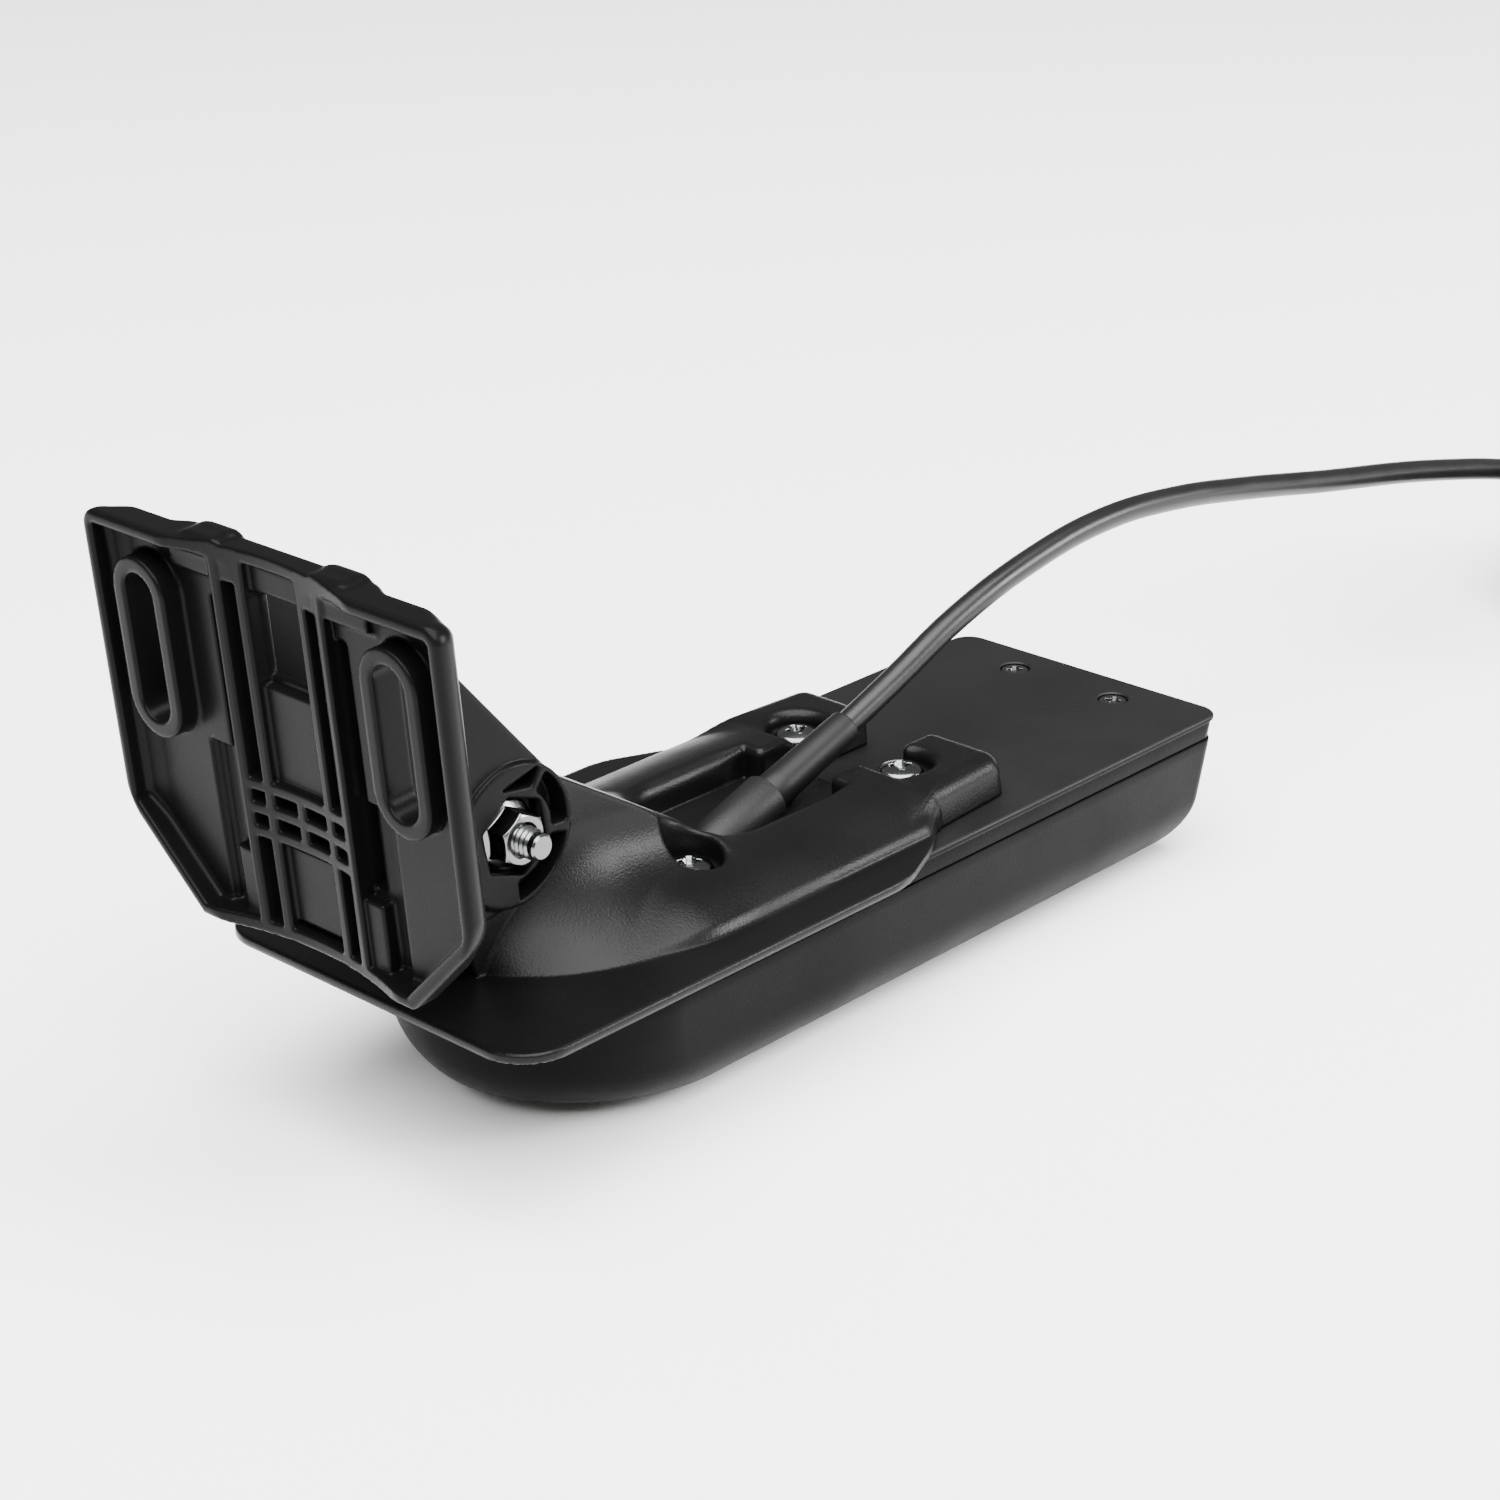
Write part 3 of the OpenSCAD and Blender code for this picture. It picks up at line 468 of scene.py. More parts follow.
def copies(tree: Tree, item: Socket, points: Socket | Node, angle: Socket | Node) -> Node:
    """Adds the nodes that put a copy of the item on each point, turned about Z by an angle."""
    copied = add_node(tree, "GeometryNodeObjectInfo", {"Object": item, "As Instance": True})
    upright = add_node(tree, "ShaderNodeCombineXYZ", {"Z": angle})
    return add_node(tree, "GeometryNodeInstanceOnPoints", {
        "Points": points, "Instance": copied.outputs["Geometry"], "Rotation": upright})


def joined_to(tree: Tree, start: Socket, grown: Node) -> Node:
    """Adds the node that joins what has grown to the piece it grew on."""
    whole = add_node(tree, "GeometryNodeJoinGeometry", {"Geometry": start})
    feed(tree, whole, {"Geometry": grown})
    return whole


def close_group(tree: Tree, geometry: Node, finish: Socket) -> Tree:
    """Ends a tree: real geometry, with its material, to the output."""
    real = add_node(tree, "GeometryNodeRealizeInstances", {"Geometry": geometry})
    dressed = add_node(tree, "GeometryNodeSetMaterial", {"Geometry": real, "Material": finish})
    add_node(tree, "NodeGroupOutput", {"Geometry": dressed})
    return tree


def scatter_tree() -> Tree:
    """Tree that puts a copy of an object on each point, turned about Z by a seeded angle."""
    tree, start = node_group("scatter", Item="Object", Turn="Float", Seed="Int")
    angle = add_node(tree, "FunctionNodeRandomValue", {2: 0.0, 3: start["Turn"], "Seed": start["Seed"]},
                     data_type="FLOAT")
    spread = copies(tree, start["Item"], start["Geometry"], angle.outputs[1])
    return close_group(tree, spread, start["Finish"])


def round_tree() -> Tree:
    """Tree that adds copies of an object, evenly turned about Z, to a piece."""
    tree, start = node_group("round_array", Item="Object", Count="Int", Step="Float")
    line = add_node(tree, "GeometryNodeMeshLine", {"Count": start["Count"], "Offset": (0, 0, 0)})
    number = add_node(tree, "GeometryNodeInputIndex")
    angle = add_node(tree, "ShaderNodeMath", {0: number, 1: start["Step"]}, operation="MULTIPLY")
    spread = copies(tree, start["Item"], line, angle)
    return close_group(tree, joined_to(tree, start["Geometry"], spread), start["Finish"])


def thread_tree() -> Tree:
    """Tree that winds a thread ridge up a piece, from the origin along Z."""
    tree, start = node_group("thread", Radius="Float", Ridge="Float", Length="Float", Turns="Float")
    spiral = add_node(tree, "GeometryNodeCurveSpiral", {
        "Resolution": 40, "Rotations": start["Turns"], "Start Radius": start["Radius"],
        "End Radius": start["Radius"], "Height": start["Length"]})
    level = add_node(tree, "GeometryNodeSetCurveNormal", {"Curve": spiral}, mode="Z_UP")
    ridge = add_node(tree, "GeometryNodeCurvePrimitiveCircle", {"Resolution": 4, "Radius": start["Ridge"]})
    wound = add_node(tree, "GeometryNodeCurveToMesh", {
        "Curve": level, "Profile Curve": ridge, "Fill Caps": True})
    flat = add_node(tree, "GeometryNodeSetShadeSmooth", {"Geometry": wound, "Shade Smooth": False})
    return close_group(tree, joined_to(tree, start["Geometry"], flat), start["Finish"])


def grow(made: Object, tree: Tree, finish: Finish, **values: object) -> Object:
    """Runs a tree on a piece and keeps the result as a plain mesh, without the item that it copies.

    Args:
        made: Piece that the tree starts from.
        tree: The tree.
        finish: Finish of the result.
        values: The tree's other named inputs.

    Returns:
        The same piece.
    """
    values["Finish"] = finish.material()
    step = made.modifiers.new(tree.name, "NODES")
    step.node_group = tree
    for socket in tree.interface.items_tree:
        if socket.in_out == "INPUT" and socket.name in values:
            step[socket.identifier] = values[socket.name]
    freeze(made)
    if "Item" in values:
        bpy.data.objects.remove(values["Item"])
    return made


def united(made: Object, other: Object) -> Object:
    """Adds the mesh of another piece of the same finish to a piece."""
    with bpy.context.temp_override(active_object=made, selected_editable_objects=[made, other]):
        bpy.ops.object.join()
    return made


def dress(made: Object, body: Body, finish: Finish, *nodes: str) -> Object:
    """Puts a piece on its body and hides the solids that it stands for."""
    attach(made, body.value)
    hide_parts(*nodes)
    count = len(made.data.polygons) if made.type == "MESH" else 0
    LOG.info("%s: %d faces on %s", made.name, count, body.value)
    return made


# Housing and cover

@dataclass
class Hull:
    """Boat-shaped potted housing and its flat cover."""

    length: float = 174.0
    width: float = 63.0
    height: float = 29.0
    cover_h: float = 4.8
    wall: float = 3.5
    bottom_r: float = 12.0
    draft_deg: float = 6.3
    bow_rise_l: float = 24.0
    bow_rise_h: float = 19.5
    nose_l: float = 28.5
    nose_power: float = 1.8
    stern_r: float = 4.0
    groove: float = 0.3
    lip_h: float = 1.1
    edge_r: float = 0.6
    gland: Triple = (-6.0, 0.0, 33.0)
    gland_r: float = 4.6
    gland_wall: float = 1.6
    gland_deg: float = 18.5
    gland_l: float = 12.0
    gland_nose: float = 9.0
    plug_seat: float = 1.8
    boot_l: float = 22.0
    boot_d: float = 7.2
    boot_taper: float = 0.5
    boot_round: float = 0.5
    boot_bore: float = 2.35
    boot_spigot: float = 7.0

    def ring(self, z: float, inset: float = 0.0) -> Array:
        """Horizontal section at height z, inset from the outside."""
        low = max(self.bottom_r - z, 0.0)
        edge = self.bottom_r - math.sqrt(self.bottom_r ** 2 - low ** 2)
        rise = max(self.bow_rise_h - z, 0.0) / self.bow_rise_h
        keel = self.bow_rise_l * (1 - math.sqrt(1 - rise ** 2))
        taper = math.tan(math.radians(self.draft_deg)) * (self.height - z) + edge + inset
        half = self.width / 2 - taper
        nose = -self.length / 2 + keel + inset
        stern = self.length / 2 - taper
        power = 2 / self.nose_power
        t = np.linspace(0, math.pi / 2, 49)
        bow = np.stack([nose + self.nose_l * (1 - np.cos(t).clip(0) ** power), half * np.sin(t) ** power], 1)
        a = np.linspace(0, math.pi / 2, 13)
        corner = np.stack([stern - self.stern_r * (1 - np.sin(a)), half - self.stern_r * (1 - np.cos(a))], 1)
        side = np.concatenate([bow, corner])
        other = side[:0:-1] * (1, -1)
        plan = np.concatenate([side, other])[::-1]
        return np.column_stack([plan, np.full(len(plan), z)])

    def shell(self) -> None:
        """Lower moulding with its cavity."""
        seam = self.height - self.cover_h
        sweep = np.radians(np.arange(0, 91, 5))
        levels = [(self.bottom_r * (1 - math.cos(a)), 0.0) for a in sweep]
        levels += [(z, 0.0) for z in (13.5, 15.5, 17.5, self.bow_rise_h, 22.0, seam - 0.35)]
        levels += [(seam - 0.1, 0.1), (seam, 0.35)]
        levels += [(z, self.wall) for z in (seam, self.bow_rise_h, self.bottom_r, 7.2, self.wall)]
        made = piece("housing_shell_moulded", *stacked([self.ring(*level) for level in levels]), HOUSING)
        dress(made, Body.TRANSDUCER, HOUSING, "housing_shell")

    def cover(self) -> None:
        """Flat lid with seam, lip, rounded edge, gland stub and plug recesses."""
        seam = self.height - self.cover_h + 0.05
        lip = self.height - self.lip_h
        levels = [(seam, self.groove + 0.3), (seam + 0.3, self.groove), (lip - 0.3, self.groove),
                  (lip - 0.02, self.groove + 0.15), (lip, 0.15), (lip + 0.15, 0.0)]
        for a in np.radians(range(0, 91, 10)):
            levels.append((self.height - self.edge_r * (1 - math.sin(a)), self.edge_r * (1 - math.cos(a))))
        levels.append((self.height, self.edge_r + 0.1))
        made = piece("top_cover_moulded", *stacked([self.ring(*level) for level in levels]), LID)
        tools = [(tool, "DIFFERENCE") for tool in self._recesses()] + [(self._stub(), "UNION")]
        for tool, way in tools:
            step = made.modifiers.new("step", "BOOLEAN")
            step.operation = way
            step.object = tool
        freeze(made)
        for tool, _ in tools:
            bpy.data.objects.remove(tool)
        sharpened(made, 35)
        # The lid's sides are as smooth as the housing under them
        made.data.materials.append(HOUSING.material())
        for face in made.data.polygons:
            face.material_index = int(face.normal.z < 0.3 and face.center.z < self.height * MM)
        dress(made, Body.TRANSDUCER, LID, "top_cover")

    def _recesses(self) -> list[Object]:
        """Round seats of the fill plugs, as solids to take away."""
        r = FILL_D / 2
        profile = [(r + 0.1, -self.plug_seat), (r + 0.1, -0.25), (r + 0.35, 0.0), (r + 0.35, 1.0)]
        points, faces = turned(profile, 48)
        places = [(FILL_X, y, self.height) for y in (-FILL_Y, FILL_Y)]
        return [piece("recess", points + place, faces, LID) for place in places]

    def _stub(self) -> Object:
        """Gland stub with a bore and a round end inside the lid."""
        r, length, bore = self.gland_r, self.gland_l, self.gland_r - self.gland_wall
        sweep = np.radians(range(6, 90, 12))
        profile = [(r * math.sin(a), -length - self.gland_nose * math.cos(a)) for a in sweep]
        profile += [(r, -length), (r, -0.4), (r - 0.12, -0.12), (r - 0.4, 0.0), (bore, 0.0), (bore, -2.0)]
        points, faces = turned(profile)
        return piece("stub", self.along_gland(points), faces, LID)

    def along_gland(self, points: Array) -> Array:
        """Moves points from upright at the origin to along the slanted gland."""
        a = math.radians(self.gland_deg)
        x = points[:, 0] * math.sin(a) + points[:, 2] * math.cos(a)
        z = points[:, 2] * math.sin(a) - points[:, 0] * math.cos(a)
        return np.column_stack([x, points[:, 1], z]) + self.gland

    def boot(self) -> None:
        """Soft boot on the gland, with a spigot inside it and a round far end."""
        start, length, bore, soft = self.boot_d / 2, self.boot_l, self.boot_bore, self.boot_round
        end = start - self.boot_taper
        profile = [(bore, -self.boot_spigot), (bore, 0.0)]
        profile += [(start - 0.35, 0.0), (start - 0.1, 0.1), (start, 0.35)]
        profile += [(start + (end - start) * k / 6, length * k / 6) for k in range(1, 6)]
        for a in np.radians(range(0, 91, 15)):
            profile.append((end - soft * (1 - math.cos(a)), length - soft * (1 - math.sin(a))))
        points, faces = turned([*profile, (bore, length)])
        made = piece("strain_relief_moulded", self.along_gland(points), faces, BOOT)
        dress(sharpened(made, 50), Body.TRANSDUCER, BOOT, "strain_relief")

    def build(self) -> None:
        """Makes the housing's pieces."""
        self.shell()
        self.cover()
        self.boot()


# Saddle mount

@dataclass
class Saddle:
    """One moulding: flange, sloping block, flared neck with its pivot barrel, tail, channel and pockets."""

    deck: float = 29.0
    flange_t: float = 1.8
    flange_half_w: float = 37.5
    flange_x: float = -100.0
    flange_r: float = 9.0
    taper_x: float = -11.0
    taper_r: float = 1.5
    toe: Pair = (3.5, 31.0)
    half_w: float = 29.5
    top_z: float = 37.0
    slope_start: float = 12.5
    slope_drop: float = 3.7
    slope_run: float = 15.0
    slope_power: float = 2.2
    foot_r: float = 1.6
    side_x: float = -45.0
    tip_x: float = -86.5
    side_end_x: float = 4.0
    tail_x: Pair = (9.0, 31.0)
    tail_half_w: Pair = (26.5, 25.0)
    tail_top: float = 36.8
    tail_draft: float = 0.1
    tail_r: float = 3.2
    tail_corner_r: float = 3.5
    flare_h: float = 22.0
    flare_power: float = 2.6
    flare_gain: float = 0.9
    flare_gain_x: Pair = (-62.0, -40.0)
    flare_sweep: Pair = (20.0, 4.0)
    neck_half_w: float = 10.6
    neck_slope_deg: float = 32.0
    neck_foot_x: float = -29.0
    neck_edge_r: float = 0.45
    neck_soft_r: float = 1.5
    neck_soft_x: Pair = (-50.0, -38.0)
    block_sink: float = 3.0
    block_sink_x: Pair = (-72.0, -48.0)
    barrel_r: float = 11.0
    screw_hole_r: float = 2.2
    pocket_r: float = 5.7
    channel_x: Pair = (-22.0, 0.0)
    channel_wide: float = 12.2
    channel_narrow: float = 8.2

    def _edge_r(self, x: Array) -> Array:
        """Radius of the neck's edges, which soften towards its foot."""
        return self.neck_edge_r + self.neck_soft_r * eased(x, *self.neck_soft_x)

    def _flange(self, x: Array, a: Array, z: Array) -> Array:
        """Thin plate with rounded front corners that curves in to the tail."""
        corners = [(self.taper_x, self.flange_half_w), self.toe, (self.tail_x[0], self.tail_half_w[0])]
        plan = common(a - self.flange_half_w, self.flange_x - x, self.flange_r)
        for start, end in zip(corners, corners[1:]):
            plan = common(plan, past_line(x, a, start, end), self.taper_r)
        plan = np.maximum(plan, x - self.tail_x[0] - 1)
        return common(common(plan, z - self.deck - self.flange_t, 0.45), self.deck - z, 0.4)

    def _flare(self, p: Array) -> Array:
        """Skirt that sweeps up from the flange to the neck."""
        x, a, z = p[:, 0], np.abs(p[:, 1]), p[:, 2]
        t = np.clip((z - self.deck - self.flange_t) / self.flare_h, -0.05, 1.05)
        power = self.flare_power + self.flare_gain * eased(x, *self.flare_gain_x)
        w = self.neck_half_w - 0.1 + (self.half_w - self.neck_half_w) * np.maximum(1 - t, 0) ** power
        side = self.side_x - self.flare_sweep[0] * t
        ahead = np.maximum(side - x, 0) / (side - self.tip_x - self.flare_sweep[1] * t)
        plan = (np.hypot(ahead, a / w) - 1) * w
        return np.maximum(plan, z - self.deck - self.flange_t - self.flare_h)

    def _block(self, x: Array, a: Array, z: Array) -> Array:
        """Block whose top slopes down to both sides and ends in a round foot."""
        ahead = np.maximum(self.side_x - x, 0) * self.half_w / (self.side_x - self.tip_x)
        reach = np.hypot(ahead, a)
        share = np.maximum(reach - self.slope_start, 0) / self.slope_run
        top = (z - self.top_z + self.slope_drop * share ** self.slope_power) * 0.96
        slant = past_line(x, a, (self.side_end_x, self.half_w), (self.tail_x[0], self.tail_half_w[0]))
        return common(within(reach - self.half_w, slant, x - self.tail_x[0] - 0.5), top, self.foot_r)

    def _tail(self, x: Array, a: Array, z: Array) -> Array:
        """Upright tail behind the slope, drafted and round along its top."""
        (start, end), (wide, narrow) = self.tail_x, self.tail_half_w
        share = np.clip((x - start) / (end - start), 0, 1)
        draft = self.tail_draft * (z - self.deck)
        side = a - wide + (wide - narrow) * share + draft
        ramp = (start - x) * 0.5 + (z - self.tail_top) * 0.87
        plan = np.maximum(common(side, x - end + draft, self.tail_corner_r), ramp)
        return common(plan, z - self.tail_top, self.tail_r)

    def _back(self, x: Array, z: Array) -> Array:
        """Sloping back of the neck, from its barrel down to the block."""
        px, _, pz = PIVOT
        s = math.radians(self.neck_slope_deg)
        top = (px + self.barrel_r * math.sin(s), pz + self.barrel_r * math.cos(s))
        return past_line(x, z, top, (self.neck_foot_x, self.top_z - 0.5))

    def _neck(self, x: Array, a: Array, z: Array) -> Array:
        """Slab with a pivot barrel, a sloping back and a front web; its edges soften towards the foot."""
        px, _, pz = PIVOT
        barrel = np.hypot(x - px, z - pz) - self.barrel_r
        top_z = pz + self.barrel_r * math.cos(math.radians(self.neck_slope_deg))
        front = past_line(x, z, (self.tip_x + 2, self.deck), (px - self.barrel_r, pz))
        web = within(self._back(x, z), front, between(z, self.deck, top_z), x - self.neck_foot_x)
        return common(np.minimum(barrel, web), a - self.neck_half_w, self._edge_r(x))

    def _channel(self, x: Array, a: Array) -> Array:
        """Cable channel: round fore end, wide part and narrow part."""
        start, step = self.channel_x
        wide = np.hypot(np.maximum(start - x, 0), a) - self.channel_wide
        wide = np.maximum(wide, x - step - 1)
        narrow = np.maximum(a - self.channel_narrow, step - 3 - x)
        return joined(wide, narrow, 1.5)

    def distance(self, p: Array) -> Array:
        """Distance to the whole moulding."""
        x, a, z = p[:, 0], np.abs(p[:, 1]), p[:, 2]
        flare = common(true_distance(self._flare, p), self._back(x, z), self._edge_r(x))
        sunk = self.block_sink * (1 - eased(x, *self.block_sink_x))
        body = joined(flare, self._block(x, a, z) + sunk, 1.0)
        body = joined(body, self._tail(x, a, z), 1.4)
        body = np.minimum(body, self._neck(x, a, z))
        body = cut(body, self._channel(x, a), 1.4 + 1.5 * (1 - eased(x, -6, 3)))
        screws = [np.hypot(x - screw_x, a - SCREW_Y) for screw_x in SCREW_XS]
        for off, soft in zip(screws, (0.4 + 1.3 * eased(x, -42, -36), 2.0)):
            body = cut(body, common(off - self.pocket_r, SCREW_SEAT - z, 0.8), soft)
        body = joined(body, self._flange(x, a, z), 0.2)
        body = within(body, *(self.screw_hole_r - off for off in screws))
        bore = np.hypot(x - PIVOT[0], z - PIVOT[2]) - BORE_R
        return np.maximum(cut(body, bore, 0.3), self.deck - z)

    def build(self) -> None:
        """Makes the saddle."""
        net = Net(self.distance, (-102, -39, 27.5), (34, 39, 70), 0.5)
        dress(moulded("mount_saddle_moulded", net, SADDLE), Body.TRANSDUCER, SADDLE, "mount_saddle")


# Transom bracket

@dataclass
class Bracket:
    """One moulding in its own frame: tray plate with slotted bosses, ribs, hollow centre and two ears."""

    lean_deg: float = 4.4
    front: float = -29.6
    middle_t: float = 7.5
    wing_t: float = 5.8
    half_w: float = 40.8
    top: float = 51.6
    bottom: float = 14.8
    foot_half_w: float = 25.0
    rim: float = 2.2
    tray_floor: float = 3.9
    edge_rise: float = 1.0
    core_sink: float = 2.2
    core_edge: Pair = (12.4, 13.4)
    foot_sink: float = 1.7
    hollow_depth: float = 3.4
    hollow_half_w: float = 21.4
    slot_y: float = 28.8
    slot_z: float = 30.7
    slot_w: float = 7.0
    slot_l: float = 25.0
    slot_wall: float = 2.7
    rib_ys: Pair = (7.1, 12.0)
    rib_zs: Triple = (3.6, 7.7, 11.8)
    rib_t: float = 2.0
    panel_zs: tuple[Pair, ...] = ((-11.5, 1.8), (13.0, 29.0), (44.6, 49.0))
    window_z: Pair = (30.2, 43.6)
    ear_in: float = 11.0
    ear_t: float = 7.5
    hub_step: float = 1.0
    ear_r: float = 12.0
    crest: float = 0.6
    recess_af: float = 12.2
    recess_deg: float = 66.0
    recess_depth: float = 3.0
    pocket_depth: float = 4.0
    pocket_spans: tuple[Pair, ...] = ((-92.0, -19.0), (-8.0, 48.0))

    @property
    def ear_out(self) -> float:
        """Outer face of an ear's hub, from the centre line."""
        return self.ear_in + self.ear_t

    def to_row(self, points: Array) -> Array:
        """Moves points from the bracket's own frame to where it rests."""
        a = math.radians(self.lean_deg)
        x = points[:, 0] * math.cos(a) - points[:, 2] * math.sin(a)
        z = points[:, 0] * math.sin(a) + points[:, 2] * math.cos(a)
        return np.column_stack([x, points[:, 1], z]) + PIVOT

    def _outline(self, a: Array, z: Array) -> Array:
        """Shield outline of the plate."""
        slant = ((a - self.foot_half_w) - (z + self.bottom)) / math.sqrt(2)
        sides = common(a - self.half_w, slant, 2.9)
        return common(common(sides, -z - self.bottom, 0.3), z - self.top, 3.0)

    def _slot(self, a: Array, z: Array) -> Array:
        """Distance to the line that a slot runs along."""
        straight = (self.slot_l - self.slot_w) / 2
        return np.hypot(a - self.slot_y, np.maximum(np.abs(z - self.slot_z) - straight, 0))

    def _lattice(self, u: Array, a: Array, z: Array) -> Array:
        """Upright and cross ribs and sunk panels between the ears."""
        half = self.rib_t / 2
        ribs = either(*(np.abs(a - y) for y in self.rib_ys)) - half
        rows = np.maximum(either(*(np.abs(z - r) for r in self.rib_zs)) - half, a - self.rib_ys[1])
        middle = np.maximum(a - half, between(z, self.rib_zs[0], self.rib_zs[-1]))
        grid = np.maximum(either(ribs, rows, middle), -u)
        panels = either(*(between(z, *span) for span in self.panel_zs))
        return joined(grid, within(panels, a - self.rib_ys[0], self.hollow_depth + 1.2 - u), 0.25)

    def _plate(self, u: Array, a: Array, z: Array) -> Array:
        """Tray plate with its bosses and lattice."""
        outline = self._outline(a, z)
        back = self.wing_t + (self.middle_t - self.wing_t) * (1 - eased(a, 20, 25))
        plate = common(common(outline, -u, 1.0), u - back, 1.2 + 3.4 * eased(a, 33, 39))
        aside = eased(a, *self.core_edge)
        floor = self.tray_floor - self.edge_rise * eased(a, 34, 40) + self.core_sink * (1 - aside)
        floor = floor + self.foot_sink * (1 - eased(a, 20.5, 21.5)) * (1 - eased(z, 15.4, 16.2)) * aside
        plate = cut(plate, common(outline + self.rim, u - floor, 1.0), 0.45)
        off = np.abs(a - self.ear_in - self.ear_t / 2)
        crest = z - self.top - self.crest + 3.6 * eased(off, 2.6, 7.6)
        bump = within(common(between(u, 2.6, self.middle_t), crest, 0.8), off - 8, self.top - 6 - z)
        plate = joined(plate, bump, 1.2)
        boss = common(self._slot(a, z) - self.slot_w / 2 - self.slot_wall, -u, 0.35)
        plate = joined(plate, np.maximum(boss, u - self.wing_t + 0.7), 0.5)
        inside = np.maximum(outline + 1.2, u - self.middle_t + 0.7)
        plate = joined(plate, np.maximum(self._lattice(u, a, z), inside), 0.3)
        block = within(between(a, 13.0, 17.2), z + 1, inside)
        return joined(plate, common(block, 3.2 - u, 0.4), 0.3)

    def _ear(self, x: Array, a: Array, z: Array) -> Array:
        """Gusset wall with a raised round hub."""
        hub = np.hypot(x, z) - self.ear_r
        crest = (self.front + self.middle_t, self.top - 1.2)
        touch = math.atan2(crest[1], crest[0]) - math.acos(self.ear_r / math.hypot(*crest))
        upper = x * math.cos(touch) + z * math.sin(touch) - self.ear_r
        foot = (self.front + self.middle_t + 1.5, 1.1 - self.bottom)
        low = math.atan2(foot[1] + self.ear_r, foot[0])
        lower = (z + self.ear_r) * math.cos(low) - x * math.sin(low)
        behind = np.minimum(x, x * math.sin(touch) - z * math.cos(touch))
        web = within(upper, lower, behind, self.front + self.middle_t - 0.8 - x)
        wall = common(np.minimum(hub, web), between(a, self.ear_in, self.ear_out - self.hub_step), 0.8)
        return joined(wall, common(hub, between(a, self.ear_in, self.ear_out), 0.4), 0.25)

    def _ear_cuts(self, x: Array, a: Array, z: Array) -> Array:
        """Bolt bore, hex recess and the pockets between hub and rim."""
        r = np.hypot(x, z)
        turn = np.degrees(np.arctan2(z, x))
        recess = six_sided(x, z, self.recess_af, self.recess_deg)
        inner, outer = self.recess_af * 0.63, self.ear_r - 0.9
        pockets = []
        for start, end in self.pocket_spans:
            across = np.radians(np.abs(turn - (start + end) / 2) - (end - start) / 2) * r
            pockets.append(common(between(r, inner, outer), across, 0.4))
        corners = [(outer + 0.7, 57), (inner + 1.0, 104), (inner + 0.6, 57)]
        spots = [(d * math.cos(math.radians(t)), d * math.sin(math.radians(t))) for d, t in corners]
        sides = []
        for (x0, z0), (x1, z1) in zip(spots, spots[1:] + spots[:1]):
            size = math.hypot(x1 - x0, z1 - z0)
            sides.append((x - x0) * ((z1 - z0) / size) + (z - z0) * ((x0 - x1) / size))
        pockets.append(within(*sides))
        return either(r - BORE_R, np.maximum(recess, self.ear_out - self.recess_depth - a),
                      np.maximum(either(*pockets), self.ear_out - self.pocket_depth - a))

    def distance(self, p: Array) -> Array:
        """Distance to the whole moulding, in the bracket's own frame."""
        x, a, z = p[:, 0], np.abs(p[:, 1]), p[:, 2]
        u = x - self.front
        body = self._plate(u, a, z)
        radius = (self.hollow_half_w ** 2 + self.hollow_depth ** 2) / (2 * self.hollow_depth)
        hollow = np.hypot(u - self.hollow_depth + radius, a) - radius
        body = cut(body, hollow, 0.35)
        body = joined(body, self._ear(x, a, z), 2.2)
        body = cut(body, self._slot(a, z) - self.slot_w / 2, 0.35)
        window = within(a - self.rib_ys[0] + self.rib_t / 2, between(z, *self.window_z), u - 12)
        body = cut(body, window, 0.3)
        core = common(between(a, 13.2, 15.8), np.maximum(between(z, 0, 42), u - 13.6), 0.8)
        body = cut(body, core, 0.4)
        body = cut(body, np.maximum(self._ear_cuts(x, a, z), 9 - a), 0.3)
        lean, back = math.radians(self.lean_deg), self.front + self.middle_t
        lid = (x - back) * math.sin(lean) + (z - self.top - self.crest) * math.cos(lean)
        return common(body, lid, 0.6) + 0.02

    def build(self) -> None:
        """Makes the bracket."""
        net = Net(self.distance, (-31, -42, -16.5), (14, 42, 55), 0.45)
        made = shifted(moulded("transom_bracket_moulded", net, BRACKET), self.to_row)
        dress(made, Body.BRACKET, BRACKET, "transom_bracket")


# Screws, plugs, bolt and nut

